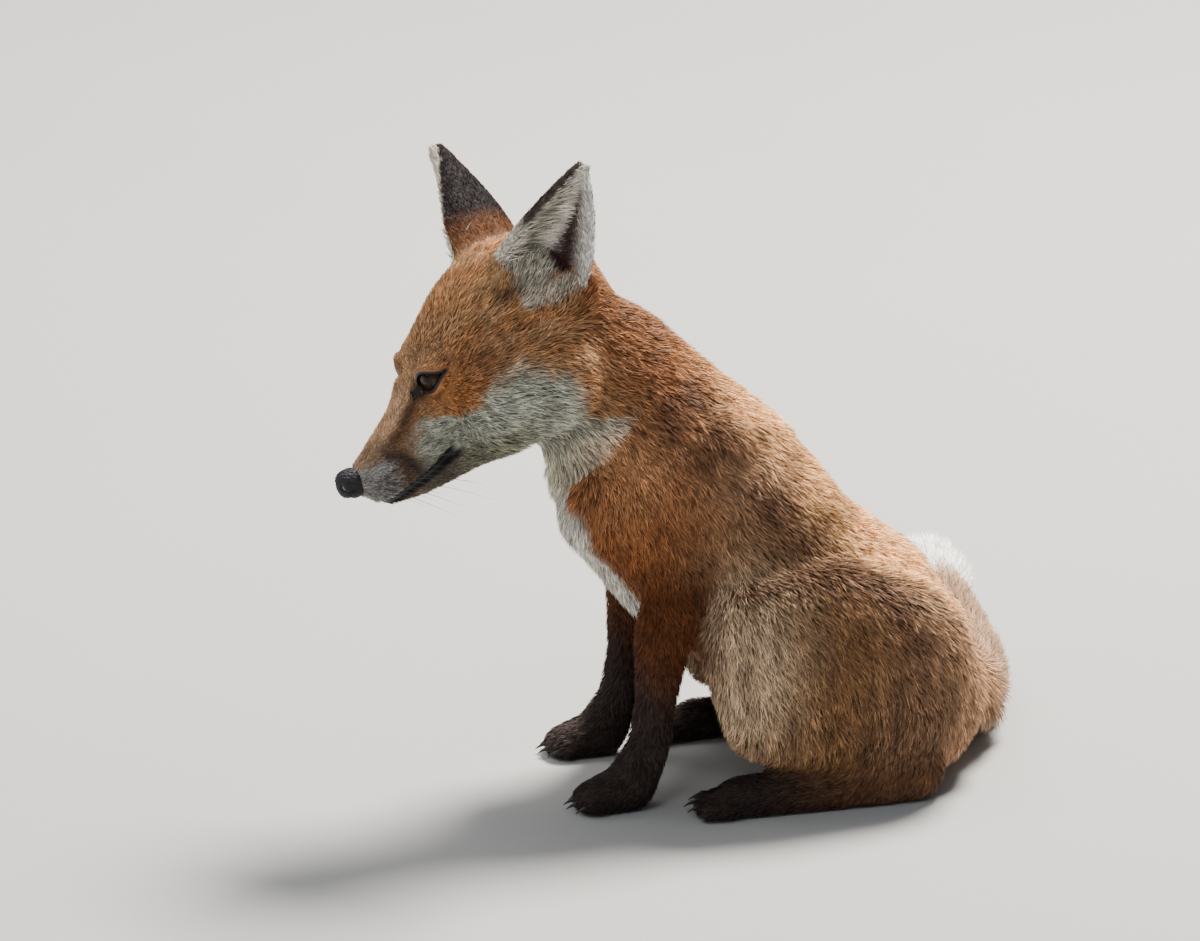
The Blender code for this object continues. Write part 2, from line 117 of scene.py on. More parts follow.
def ramp(value: Array, low: float, high: float) -> Array:
    """A smooth step.

    Args:
        value: where to read it.
        low: where it leaves 0.
        high: where it reaches 1; below low, the step runs the other way.

    Returns:
        Values from 0 to 1.
    """
    share = np.clip((np.asarray(value, float) - low) / (high - low), 0.0, 1.0)
    return share * share * (3.0 - 2.0 * share)


def blob(points: Array, centre: Sequence[float], radii: Sequence[float]) -> Array:
    """A soft ellipsoid: 1 at its centre, about 0.37 at its radii and 0 far away."""
    reach = (points - np.array(centre, float)) / np.array(radii, float)
    return np.exp(-(reach * reach).sum(axis=1))


def line_distance(points: Array, path: Sequence[Sequence[float]]) -> Array:
    """The distance to a chain of straight pieces.

    Args:
        points: places.
        path: the chain's corners.

    Returns:
        A distance for each point.
    """
    path = np.array(path, float)
    best = np.full(len(points), np.inf)
    for start, end in zip(path, path[1:]):
        along = end - start
        share = np.clip((points - start) @ along / (along @ along), 0.0, 1.0)
        best = np.minimum(best, np.linalg.norm(points - start - share[:, None] * along, axis=1))
    return best


def waves(points: Array, size: float, seed: int, turns: int = 7) -> Array:
    """Smooth pseudo-random values from a few crossed waves.

    Args:
        points: places in millimetres.
        size: the typical distance between patches.
        seed: picks the waves.
        turns: how many waves are summed.

    Returns:
        Values with mean 0 and deviation of about 1.
    """
    maker = np.random.default_rng(seed)
    total = np.zeros(len(points))
    for _ in range(turns):
        way = unit(maker.normal(size=3)) * (2.0 * math.pi / size) * maker.uniform(0.6, 1.5)
        total += np.sin(points @ way + maker.uniform(0.0, 2.0 * math.pi))
    return total / math.sqrt(turns / 2.0)


def blended(base: Array, colour: Colour, mask: Array) -> Array:
    """Lays a colour over others where a mask says."""
    share = np.clip(mask, 0.0, 1.0)[:, None]
    return base * (1.0 - share) + np.array(colour) * share


def over_mouth(head: Array) -> Array:
    """The height over the plane of the mouth, for places in the head's frame."""
    return (head[:, 2] + MOUTH_DROP + (head[:, 0] - MOUTH_START) * MOUTH_SLOPE) * MOUTH_TILT


def whisker_bed(row: int, place: int, spacing: float) -> tuple[float, float]:
    """Where a whisker's root lies along and up the muzzle, by its row and its place from the rear."""
    return BED_FRONT + spacing * place + 1.2 * row, BED_TOP - 2.9 * row - 0.95 * place


def tube_faces(rows: int, sides: int, start: int = 0, closed: bool = False) -> list[tuple[int, ...]]:
    """The four-cornered faces of a tube whose points stand ring by ring.

    Args:
        rows: how many rings.
        sides: how many points in each.
        start: the first point's number.
        closed: whether the last ring joins the first.

    Returns:
        The corners of each face.
    """
    faces = []
    for row in range(rows if closed else rows - 1):
        here, there = start + row * sides, start + (row + 1) % rows * sides
        for corner in range(sides):
            other = (corner + 1) % sides
            faces.append((here + corner, here + other, there + other, there + corner))
    return faces


def linked(name: str, data: bpy.types.ID) -> bpy.types.Object:
    """Makes an object of a mesh, a light or a camera.

    Args:
        name: the object's name.
        data: what it shows.

    Returns:
        The object, in the scene.
    """
    made = bpy.data.objects.new(name, data)
    bpy.context.scene.collection.objects.link(made)
    return made


@dataclass(frozen=True)
class Axes:
    """A frame in millimetres: its origin in metres, and its axes as rows."""

    origin: Array
    rows: Array

    def local(self, points: Array) -> Array:
        """World metres to this frame's millimetres."""
        return (np.asarray(points, float) - self.origin) @ self.rows.T / MM

    def world(self, points: Any) -> Array:
        """This frame's millimetres to world metres."""
        return np.asarray(points, float) @ self.rows * MM + self.origin

    def turned(self, directions: Any) -> Array:
        """Directions of this frame in the world."""
        return np.asarray(directions, float) @ self.rows


class Frames:
    """The body's, head's and eyes' frames, found from the CAD eyes."""

    def __init__(self) -> None:
        """Reads the eye nodes and places every frame."""
        forward = np.array([-math.cos(HEAD_PITCH) * math.cos(HEAD_YAW),
                            -math.cos(HEAD_PITCH) * math.sin(HEAD_YAW), -math.sin(HEAD_PITCH)])
        left = np.array([math.sin(HEAD_YAW), -math.cos(HEAD_YAW), 0.0])
        up = np.cross(forward, left)
        tilt, rise = math.cos(HEAD_ROLL), math.sin(HEAD_ROLL)
        rows = np.array([forward, left * tilt + up * rise, up * tilt - left * rise])
        middles = [sum(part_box(f"eye_{side.word}"), Vector()) / 2 for side in Side]
        between = np.array(sum(middles, Vector()) / len(middles))
        head_origin = between - np.array(EYE_BETWEEN) @ rows * MM
        self.head = Axes(head_origin, rows)
        self.body = Axes(head_origin - np.array(HEAD_ORIGIN) * MM, np.eye(3))

    def eye(self, side: Side) -> Axes:
        """An eye's frame: towards the inner corner, up, and out along its gaze.

        Args:
            side: which eye.

        Returns:
            Its frame in the world.
        """
        flip = np.array([1.0, side.value, 1.0])
        out = unit(np.array(EYE_AXIS) * flip)
        inward = np.array(EYE_INWARD) * flip
        inward = unit(inward - out * (inward @ out))
        rise = np.cross(out, inward)
        rise = rise * np.sign(rise[2])
        rows = self.head.turned(np.array([inward, rise, out]))
        return Axes(self.head.world(np.array(EYE_CENTRE) * flip), rows)


# --- Finishes

class Value:
    """A socket's output, with three of Python's operators as maths nodes."""

    def __init__(self, graph: "Graph", socket: bpy.types.NodeSocket) -> None:
        """Keeps the graph and the socket."""
        self.graph = graph
        self.socket = socket

    def __add__(self, other: Any) -> "Value":
        """self + other."""
        return self.graph.maths("ADD", self, other)

    def __sub__(self, other: Any) -> "Value":
        """self - other."""
        return self.graph.maths("SUBTRACT", self, other)

    def __mul__(self, other: Any) -> "Value":
        """self * other."""
        return self.graph.maths("MULTIPLY", self, other)

    def __radd__(self, other: Any) -> "Value":
        """other + self."""
        return self.graph.maths("ADD", other, self)

    def __rsub__(self, other: Any) -> "Value":
        """other - self."""
        return self.graph.maths("SUBTRACT", other, self)

    def __rmul__(self, other: Any) -> "Value":
        """other * self."""
        return self.graph.maths("MULTIPLY", other, self)

    def clipped(self) -> "Value":
        """Held between 0 and 1."""
        return self.graph.maths("ADD", self, 0.0, clamp=True)

    def step(self, low: float, high: float) -> "Value":
        """A smooth step from low to high."""
        return self.graph.node("ShaderNodeMapRange", {"interpolation_type": "SMOOTHSTEP"},
                               {"Value": self, "From Min": low, "From Max": high}, "Result")


class Graph:
    """A material and its node tree, built from expressions."""

    def __init__(self, name: str) -> None:
        """Makes a material with a Principled shader and nothing else.

        Args:
            name: the material's name.
        """
        self.material = bpy.data.materials.new(name)
        self.material.use_nodes = True
        self.tree = self.material.node_tree
        self.shader = self.tree.nodes["Principled BSDF"]

    def feed(self, socket: bpy.types.NodeSocket, value: Any) -> None:
        """Links or sets one input."""
        if isinstance(value, Value):
            self.tree.links.new(value.socket, socket)
        elif socket.type == "RGBA" and len(value) == 3:
            socket.default_value = (*value, 1.0)
        else:
            socket.default_value = value

    def node(self, kind: str, settings: dict[str, Any], inputs: dict[Any, Any],
             output: str | int = 0) -> Value:
        """Adds any node.

        Args:
            kind: the node's type.
            settings: its properties.
            inputs: values or links by socket name or number.
            output: the socket to give back.

        Returns:
            The output as a value.
        """
        made = self.tree.nodes.new(kind)
        for name, setting in settings.items():
            setattr(made, name, setting)
        for key, value in inputs.items():
            self.feed(made.inputs[key], value)
        return Value(self, made.outputs[output])

    def maths(self, operation: str, first: Any, second: Any = 0.0, clamp: bool = False) -> Value:
        """A maths node on one or two values."""
        settings = {"operation": operation, "use_clamp": clamp}
        return self.node("ShaderNodeMath", settings, {0: first, 1: second})

    def mix(self, share: Any, first: Any, second: Any) -> Value:
        """A mix of two colours."""
        return self.node("ShaderNodeMix", {"data_type": "RGBA"}, {0: share, 6: first, 7: second}, 2)

    def scaled(self, colour: Any, factor: Any) -> Value:
        """A colour made brighter or darker by a factor."""
        return self.node("ShaderNodeVectorMath", {"operation": "SCALE"}, {0: colour, "Scale": factor})

    def attribute(self, name: str, output: str = "Fac") -> Value:
        """A value stored on the mesh."""
        return self.node("ShaderNodeAttribute", {"attribute_name": name}, {}, output)

    def noise(self, scale: float, detail: float = 3.0, vector: Any = None) -> Value:
        """Noise in object coordinates, in cycles per metre."""
        where = vector or self.node("ShaderNodeTexCoord", {}, {}, "Object")
        return self.node("ShaderNodeTexNoise", {}, {"Vector": where, "Scale": scale, "Detail": detail})

    def cells(self, scale: float) -> Value:
        """Distance to the middle of each cell."""
        where = self.node("ShaderNodeTexCoord", {}, {}, "Object")
        return self.node("ShaderNodeTexVoronoi", {}, {"Vector": where, "Scale": scale}, "Distance")

    def bump(self, height: Any, strength: float, distance: float) -> Value:
        """A bumped normal, with the distance in metres."""
        inputs = {"Height": height, "Strength": strength, "Distance": distance}
        return self.node("ShaderNodeBump", {}, inputs, "Normal")

    def surface(self, **inputs: Any) -> bpy.types.Material:
        """Feeds the Principled shader; underscores in names stand for spaces."""
        for name, value in inputs.items():
            self.feed(self.shader.inputs[name.replace("_", " ")], value)
        return self.material


@dataclass(frozen=True)
class CoatFinish:
    """Hair: darker at each tuft's root, paler at its tip, and a little different from tuft to tuft."""

    name: str = "coat"
    roughness: float = 0.62
    root_shade: float = 0.50
    tip_light: float = 1.12
    variation: float = 0.34
    streaks: float = 900.0
    cuticle: float = 2600.0
    shine: float = 0.14

    def material(self) -> bpy.types.Material:
        """Makes the material.

        Returns:
            A material that reads the mesh's own attributes.
        """
        graph = Graph(self.name)
        tint = graph.attribute("tint", "Color")
        strand = graph.attribute("strand")
        chance = graph.attribute("chance")
        fine = graph.noise(self.streaks, 2.0)
        length_shade = self.root_shade + (self.tip_light - self.root_shade) * strand.step(0.0, 0.8)
        own_shade = 1.0 + self.variation * (chance - 0.5) * 2.0
        colour = graph.scaled(tint, length_shade * own_shade * (0.86 + 0.28 * fine))
        rough = self.roughness + 0.12 * (chance - 0.5)
        normal = graph.bump(graph.noise(self.cuticle, 1.0), 0.25, 0.0002)
        return graph.surface(Base_Color=colour, Roughness=rough, Normal=normal, Specular_IOR_Level=self.shine)


@dataclass(frozen=True)
class SkinFinish:
    """The skin under the coat, in the same markings, with the short down that covers it."""

    name: str = "skin"
    shade: float = 0.55
    down: float = 0.0004
    fine_scale: float = 1400.0
    coarse_scale: float = 260.0
    shine: float = 0.3

    def material(self) -> bpy.types.Material:
        """Makes the material.

        Returns:
            A material that reads the mesh's own attributes.
        """
        graph = Graph(self.name)
        tint = graph.attribute("tint", "Color")
        bare = graph.attribute("bare")
        fine = graph.noise(self.fine_scale, 4.0)
        coarse = graph.noise(self.coarse_scale, 3.0)
        shade = self.shade * (0.7 + 0.6 * fine) * (0.8 + 0.4 * coarse)
        colour = graph.mix(bare, graph.scaled(tint, shade), graph.scaled(tint, 0.7 + 0.5 * fine))
        rough = 0.85 - 0.4 * bare
        normal = graph.bump(fine + 0.5 * coarse, 0.5, self.down)
        return graph.surface(Base_Color=colour, Roughness=rough, Normal=normal, Specular_IOR_Level=self.shine)


@dataclass(frozen=True)
class EyeFinish:
    """A wet eyeball: a slit pupil in an amber-brown iris with a dark rim, and a dark surround."""

    name: str = "eye"
    iris: Colour = (0.036, 0.015, 0.006)
    iris_deep: Colour = (0.012, 0.005, 0.003)
    white: Colour = (0.008, 0.006, 0.006)
    pupil: Colour = (0.002, 0.002, 0.003)
    iris_edge: float = 6.1
    wet: float = 0.45

    def material(self) -> bpy.types.Material:
        """Makes the material.

        Returns:
            A material that reads the mesh's own attributes.
        """
        graph = Graph(self.name)
        out = graph.attribute("from_gaze")
        pupil = graph.attribute("from_pupil")
        streak = graph.noise(700.0, 4.0)
        ring = out.step(2.4, self.iris_edge) * 0.75 + 0.45 * (streak - 0.5)
        iris = graph.mix(ring.clipped(), self.iris, self.iris_deep)
        eye = graph.mix(out.step(self.iris_edge - 0.3, self.iris_edge + 0.5), iris, self.white)
        colour = graph.mix(pupil.step(1.0, 1.25), self.pupil, eye)
        return graph.surface(Base_Color=colour, Roughness=0.4, Coat_Weight=self.wet, Coat_Roughness=0.02,
                             Specular_IOR_Level=0.0)


@dataclass(frozen=True)
class NoseFinish:
    """Moist black skin in small pebbles."""

    name: str = "nose"
    colour: Colour = (0.012, 0.011, 0.014)
    worn: Colour = (0.022, 0.021, 0.026)
    pebbles: float = 950.0
    shine: float = 0.25

    def material(self) -> bpy.types.Material:
        """Makes the material.

        Returns:
            The material, in object coordinates.
        """
        graph = Graph(self.name)
        pebble = graph.cells(self.pebbles)
        cloud = graph.noise(220.0, 3.0)
        colour = graph.mix((cloud * 0.7 + 0.5 * pebble).clipped(), self.colour, self.worn)
        normal = graph.bump(1.0 - pebble, 0.25, 0.0002)
        rough = 0.5 + 0.2 * cloud
        return graph.surface(Base_Color=colour, Roughness=rough, Normal=normal, Specular_IOR_Level=self.shine)


@dataclass(frozen=True)
class HornFinish:
    """Plain dark horn or bare skin, with fine grainy wear."""

    name: str
    colour: Colour
    roughness: float
    scale: float = 600.0
    shine: float = 0.5

    def material(self) -> bpy.types.Material:
        """Makes the material.

        Returns:
            The material, in object coordinates.
        """
        graph = Graph(self.name)
        grain = graph.noise(self.scale, 4.0)
        colour = graph.scaled(self.colour, 0.6 + 0.8 * grain)
        normal = graph.bump(grain, 0.3, 0.0002)
        rough = self.roughness + 0.2 * (grain - 0.5)
        return graph.surface(Base_Color=colour, Roughness=rough, Normal=normal, Specular_IOR_Level=self.shine)


@dataclass(frozen=True)
class FloorFinish:
    """The pale floor."""

    name: str = "floor"
    colour: Colour = (0.40, 0.398, 0.39)

    def material(self) -> bpy.types.Material:
        """Makes the material.

        Returns:
            The material, in object coordinates.
        """
        graph = Graph(self.name)
        cloud = graph.noise(3.0, 2.0)
        return graph.surface(Base_Color=graph.scaled(self.colour, 0.97 + 0.06 * cloud), Roughness=0.8)


# --- Meshes

def surface(name: str, points: Any, faces: Sequence[Sequence[int]], material: bpy.types.Material,
            smooth: bool = True) -> bpy.types.Object:
    """Makes a mesh object.

    Args:
        name: the object's name.
        points: its points, in world metres.
        faces: the corners of each face.
        material: its finish.
        smooth: whether its faces are shaded smooth.

    Returns:
        The object, in the scene.
    """
    mesh = bpy.data.meshes.new(name)
    mesh.from_pydata(np.asarray(points, float).tolist(), [], faces)
    mesh.materials.append(material)
    mesh.update()
    if smooth:
        mesh.shade_smooth()
    return linked(name, mesh)


def store(mesh: bpy.types.Mesh, name: str, values: Array) -> None:
    """Stores a number or a colour on each point of a mesh.

    Args:
        mesh: the mesh.
        name: the attribute's name.
        values: one number or one colour for each point.
    """
    if values.ndim == 1:
        mesh.attributes.new(name, "FLOAT", "POINT").data.foreach_set("value", values.astype(np.float32))
        return
    full = np.ones((len(values), 4), np.float32)
    full[:, :3] = values
    mesh.attributes.new(name, "FLOAT_COLOR", "POINT").data.foreach_set("color", full.ravel())


def fetched(items: Any, name: str, width: int, kind: type = np.float32) -> Array:
    """Reads one property of every item.

    Args:
        items: a collection of a mesh.
        name: the property.
        width: how many numbers each item has.
        kind: their type.

    Returns:
        One row for each item.
    """
    flat = np.empty(len(items) * width, kind)
    items.foreach_get(name, flat)
    return flat.reshape(-1, width)


def coordinates(mesh: bpy.types.Mesh) -> Array:
    """The mesh's points as an array."""
    return fetched(mesh.vertices, "co", 3).astype(float)


def swept(path: Array, normals: Array, widths: Array, heights: Array, sides: int) -> Array:
    """A rounded strip along a closed path.

    Args:
        path: its points, in world metres.
        normals: the direction of its thickness at each point.
        widths: half its width at each point, in metres.
        heights: half its thickness at each point, in metres.
        sides: corners of its section.

    Returns:
        The strip's points, ring by ring.
    """
    ahead = unit(np.roll(path, -1, 0) - np.roll(path, 1, 0))
    across = unit(np.cross(normals, ahead))
    out = unit(np.cross(ahead, across))
    points = []
    for corner in range(sides):
        turn = 2.0 * math.pi * corner / sides
        wide, thick = widths * math.cos(turn), heights * math.sin(turn)
        points.append(path + across * wide[:, None] + out * thick[:, None])
    return np.stack(points, axis=1).reshape(-1, 3)


# --- Ears

@dataclass(frozen=True)
class EarShape:
    """An ear's corners in the head's frame: front and rear of its root, and its tip."""

    side: Side
    front: Place
    rear: Place
    tip: Place

    @property
    def node(self) -> str:
        """The ear's node."""
        return f"ear_{self.side.word}"

    def opening(self) -> Array:
        """The direction that the scoop faces."""
        front, rear, tip = (np.array(corner) for corner in (self.front, self.rear, self.tip))
        return unit(np.cross(tip - (front + rear) / 2, front - rear)) * self.side.value

    def place(self, points: Array) -> tuple[Array, Array]:
        """Where points lie on the ear.

        Args:
            points: places in the head's frame.

        Returns:
            How far each is from root (0) to tip (1), and from the front edge (0) to the rear edge (1).
        """
        front, rear, tip = (np.array(corner) for corner in (self.front, self.rear, self.tip))
        base = (front + rear) / 2
        axis = tip - base
        along = (points - base) @ axis / (axis @ axis)
        edge_front = front + (tip - front) * along[:, None]
        edge_rear = rear + (tip - rear) * along[:, None]
        width = unit(rear - front)
        span = np.maximum(np.abs((edge_rear - edge_front) @ width), 6.0)
        return along, ((points - edge_front) @ width) / span


EARS = (EarShape(Side.LEFT, (5, 21, 26), (-19, 40, -1), (-37, 60.5, 62)),
        EarShape(Side.RIGHT, (18, -20, 27), (-18, -43, 5), (-8.5, -64.5, 68)))


# --- The skin

class Region(Enum):
    """Parts of the coat: the nodes that each covers."""

    HEAD = ("head", "lower_jaw", "nose", "eye_left", "eye_right")
    EAR_LEFT = ("ear_left",)
    EAR_RIGHT = ("ear_right",)
    NECK = ("neck",)
    TRUNK = ("trunk",)
    SHOULDERS = ("shoulder_left", "shoulder_right")
    FOREARMS = ("forearm_left", "forearm_right")
    FOREPAWS = ("forepaw_left", "forepaw_right")
    THIGHS = ("thigh_left", "thigh_right")
    HINDFEET = ("hindfoot_left", "hindfoot_right")
    TAIL = ("tail_root", "tail_middle", "tail_tip")


REGIONS = list(Region)
EAR_REGIONS = (REGIONS.index(Region.EAR_LEFT), REGIONS.index(Region.EAR_RIGHT))


def within(labels: Array, *regions: Region) -> Array:
    """Which labels stand for one of these regions."""
    return np.isin(labels, [REGIONS.index(region) for region in regions])


@dataclass(frozen=True)
class Hair:
    """A region's coat: length, height over the skin and width in millimetres, and tufts per square cm."""

    length: float
    height: float
    width: float
    density: float
    clump: float


HAIR = {
    Region.HEAD: Hair(6.4, 2.6, 0.42, 200.0, 0.12),
    Region.EAR_LEFT: Hair(2.8, 0.6, 0.40, 185.0, 0.08),
    Region.EAR_RIGHT: Hair(2.8, 0.6, 0.40, 185.0, 0.08),
    Region.NECK: Hair(9.0, 4.0, 0.47, 172.0, 0.16),
    Region.TRUNK: Hair(9.5, 4.3, 0.48, 154.0, 0.17),
    Region.SHOULDERS: Hair(8.2, 3.4, 0.47, 172.0, 0.16),
    Region.FOREARMS: Hair(5.4, 1.9, 0.45, 154.0, 0.15),
    Region.FOREPAWS: Hair(3.6, 1.0, 0.45, 160.0, 0.1),
    Region.THIGHS: Hair(9.2, 4.0, 0.48, 158.0, 0.17),
    Region.HINDFEET: Hair(4.4, 1.2, 0.47, 150.0, 0.12),
    Region.TAIL: Hair(24.0, 9.5, 0.66, 114.0, 0.28),
}
PROPERTIES = ("length", "height", "width", "density", "clump")

# How much single tufts differ from the marking that they stand in
SPECKLE = {Region.HEAD: 0.8, Region.NECK: 0.9, Region.TRUNK: 1.0, Region.SHOULDERS: 0.7, Region.THIGHS: 1.0}
PLAIN_SPECKLE = 0.25


@dataclass(frozen=True)
class Bump:
    """A rise of the skin in one frame, or a hollow if its height is below 0."""

    height: float
    centre: Place
    radii: Place
    on_head: bool = True


BUMPS = (
    Bump(2.4, (70, -7, -15), (9, 7, 8)),
    Bump(3.2, (65, -9.5, -9.5), (6, 6, 5)),
    Bump(2.4, (66.5, -11, -13.5), (5, 5, 4)),
    Bump(-2.2, (65.5, -10, -3.5), (5, 6, 3.5)),
    Bump(-3.2, (96, -12, 171), (17, 34, 17), on_head=False),
    Bump(1.2, (2, -34, 33), (12, 10, 10)),
    Bump(1.8, (-5, -60, 62), (8, 8, 11)),
    Bump(3, (36, 12, -66), (12, 14, 8)),
)


@dataclass
class Skin:
    """One closed skin for all the flesh, inside the solids by the coat's height."""

    frames: Frames
    voxel: float = 1.6
    grow: float = 0.3
    grow_eyes: float = 1.0
    eye_reach: float = 17.0
    lips_reach: float = 5.0
    nose_reach: float = 104.0
    ear_depth: float = 0.45
    lid: float = 0.75
    lid_swell: float = 0.9
    obj: bpy.types.Object = field(init=False)
    points: Array = field(init=False)
    normals: Array = field(init=False)
    edges: Array = field(init=False)
    ends_count: Array = field(init=False)
    labels: Array = field(init=False)
    hair: dict[str, Array] = field(init=False)
    triangles: Array = field(init=False)
    unwrap: Array = field(init=False)

    @property
    def nodes(self) -> list[str]:
        """The nodes that the skin is made of."""
        return [node for region in REGIONS for node in region.value]

    def build(self) -> bpy.types.Object:
        """Makes the skin and all that the coat needs to know about it.

        Returns:
            The skin.
        """
        self.obj = linked("skin", self._fused())
        self._refine()
        self._read()
        self.points = self._smoothed(self.points, 14, np.where(self._on_ears(), 0.35, 1.0))
        self._label()
        self._spread_hair()
        self._sink()
        self._mouth()
        self._lids()
        self._nostril_bed()
        self._write()
        return self.obj

    def _fused(self) -> bpy.types.Mesh:
        """Joins the flesh solids, each grown a little.

        Returns:
            One closed mesh.
        """
        builder = bmesh.new()
        for node in self.nodes:
            grow = self.grow_eyes if node.startswith("eye") else self.grow
            part = bmesh.new()
            part.from_mesh(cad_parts[node].data)
            bmesh.ops.remove_doubles(part, verts=part.verts, dist=1e-6)
            bmesh.ops.recalc_face_normals(part, faces=part.faces)
            part.normal_update()
            moves = [point.co + point.normal * grow * MM for point in part.verts]
            for point, move in zip(part.verts, moves):
                point.co = move
            mesh = bpy.data.meshes.new(node)
            part.to_mesh(mesh)
            part.free()
            builder.from_mesh(mesh)
            bpy.data.meshes.remove(mesh)
        mesh = bpy.data.meshes.new("joined")
        builder.to_mesh(mesh)
        builder.free()
        joined = linked("joined", mesh)
        remesh = joined.modifiers.new("fuse", "REMESH")
        remesh.mode = "VOXEL"
        remesh.voxel_size = self.voxel * MM
        bpy.context.view_layer.update()
        graph = bpy.context.evaluated_depsgraph_get()
        made = bpy.data.meshes.new_from_object(joined.evaluated_get(graph))
        made.name = "skin"
        bpy.data.objects.remove(joined)
        return made

    def _refine(self) -> None:
        """Cuts the faces round the eyes and along the mouth and nose into smaller ones."""
        builder = bmesh.new()
        builder.from_mesh(self.obj.data)
        for reach in (1.0, 0.62):
            builder.verts.ensure_lookup_table()
            points = np.array([point.co for point in builder.verts])
            head = self.frames.head.local(points)
            near = np.zeros(len(points), bool)
            for side in Side:
                near |= np.linalg.norm(self.frames.eye(side).local(points), axis=1) < self.eye_reach * reach
            lips = np.abs(over_mouth(head)) < self.lips_reach * reach
            near |= lips & (head[:, 0] > 58.0) & (head[:, 2] < -38.0)
            near |= head[:, 0] > self.nose_reach + 6.0 * (1.0 - reach)
            edges = [edge for edge in builder.edges if all(near[end.index] for end in edge.verts)]
            bmesh.ops.subdivide_edges(builder, edges=edges, cuts=1, use_grid_fill=True)
            bmesh.ops.triangulate(builder, faces=[face for face in builder.faces if len(face.verts) > 4])
        builder.to_mesh(self.obj.data)
        builder.free()

    def _read(self) -> None:
        """Reads points, edges and faces into arrays."""
        self.points = coordinates(self.obj.data)
        self.edges = fetched(self.obj.data.edges, "vertices", 2, np.int32)
        self.ends_count = np.bincount(self.edges.ravel(), minlength=len(self.points)).astype(float)

    def _average(self, values: Array) -> Array:
        """The mean of each point's neighbours.

        Args:
            values: one or more numbers for each point.

        Returns:
            As many numbers for each point.
        """
        first, second = self.edges.T
        size = len(self.ends_count)
        if values.ndim == 1:
            total = np.bincount(first, values[second], size) + np.bincount(second, values[first], size)
            return total / self.ends_count
        return np.stack([self._average(column) for column in values.T], axis=1)

    def _smoothed(self, points: Array, passes: int, share: Any = 1.0) -> Array:
        """Evens out a surface without shrinking it.

        Args:
            points: the surface's points.
            passes: how often.
            share: how strongly, from 0 to 1, for each point or for all.

        Returns:
            The points moved.
        """
        weight = np.broadcast_to(np.asarray(share, float), (len(points),))[:, None]
        for _ in range(passes):
            points = points + 0.62 * weight * (self._average(points) - points)
            points = points - 0.64 * weight * (self._average(points) - points)
            points = points + 0.25 * weight * (self._average(points) - points)
        return points

    def _normals(self) -> Array:
        """Writes the present shape to the mesh.

        Returns:
            The normal at each point.
        """
        mesh = self.obj.data
        mesh.vertices.foreach_set("co", self.points.astype(np.float32).ravel())
        mesh.update()
        return unit(fetched(mesh.vertex_normals, "vector", 3))

    def _on_ears(self) -> Array:
        """Finds the ears.

        Returns:
            Whether each point lies above the root of an ear.
        """
        head = self.frames.head.local(self.points)
        found = np.zeros(len(head), bool)
        for ear in EARS:
            low, high = (np.array(corner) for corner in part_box(ear.node))
            inside = ((self.points > low - 0.004) & (self.points < high + 0.004)).all(axis=1)
            found |= inside & (ear.place(head)[0] > 0.02)
        return found

    def _label(self) -> None:
        """Finds the region that each point belongs to."""
        corners, faces, owners = [], [], []
        for number, region in enumerate(REGIONS):
            for node in region.value:
                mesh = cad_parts[node].data
                start = len(corners)
                corners.extend(point.co.copy() for point in mesh.vertices)
                faces.extend([start + corner for corner in face.vertices] for face in mesh.polygons)
                owners.extend([number] * len(mesh.polygons))
        tree = BVHTree.FromPolygons(corners, faces)
        found = [tree.find_nearest(Vector(point))[2] for point in self.points]
        self.labels = np.array(owners)[np.array(found)]

    def _spread_hair(self) -> None:
        """Gives each point its own hair, with soft passages between regions."""
        head = self.frames.head.local(self.points)
        body = self.frames.body.local(self.points)
        ears = np.isin(self.labels, EAR_REGIONS)
        self.hair = {}
        for name in PROPERTIES:
            own = np.array([getattr(HAIR[region], name) for region in REGIONS])[self.labels]
            value = own.copy()
            for _ in range(90):
                value = self._average(value)
                value = np.where(ears, own, value)
            self.hair[name] = value
        on_head = within(self.labels, Region.HEAD)
        front = np.where(on_head, ramp(head[:, 0], 30, 78), 0)
        cheek = np.where(on_head, ramp(-head[:, 2], 22, 40) * ramp(-head[:, 0], -50, -22), 0)
        for name, muzzle, full in (("length", 0.42, 1.45), ("height", 0.40, 1.6), ("width", 0.75, 1.1),
                                   ("density", 1.55, 0.85)):
            self.hair[name] *= (1 + (muzzle - 1) * front) * (1 + (full - 1) * cheek)
        chest = blob(body, (-30, 0, 150), (30, 34, 45))
        self.hair["length"] *= 1 + 0.25 * chest
        tip = ramp(body[:, 1], 205, 250) * within(self.labels, Region.TAIL)
        self.hair["height"] *= 1 - 0.55 * tip
        self.hair["length"] *= 1 - 0.35 * tip
        near_eye = np.zeros(len(head))
        for side in Side:
            gap = np.linalg.norm(self.frames.eye(side).local(self.points), axis=1)
            near_eye = np.maximum(near_eye, ramp(-gap, -20, -12))
        self.hair["height"] *= 1 - 0.55 * near_eye
        self.hair["length"] *= 1 - 0.45 * near_eye

    def _sink(self) -> None:
        """Moves the surface in by the coat's height."""
        depth = self.hair["height"] * 0.92
        ears = np.isin(self.labels, EAR_REGIONS)
        depth = np.where(ears, self.ear_depth, depth)
        for _ in range(30):
            depth = np.where(ears, depth, self._average(depth))
        normals = self._normals()
        for _ in range(12):
            normals = np.where(ears[:, None], normals, unit(self._average(normals)))
        head = self.frames.head.local(self.points)
        body = self.frames.body.local(self.points)
        stop = np.zeros(len(head))
        for bump in BUMPS:
            stop += bump.height * blob(head if bump.on_head else body, bump.centre, bump.radii)
        self.points = self.points - normals * (depth - stop)[:, None] * MM
        self.points = self._smoothed(self.points, 6, np.where(ears, 0.2, 1))

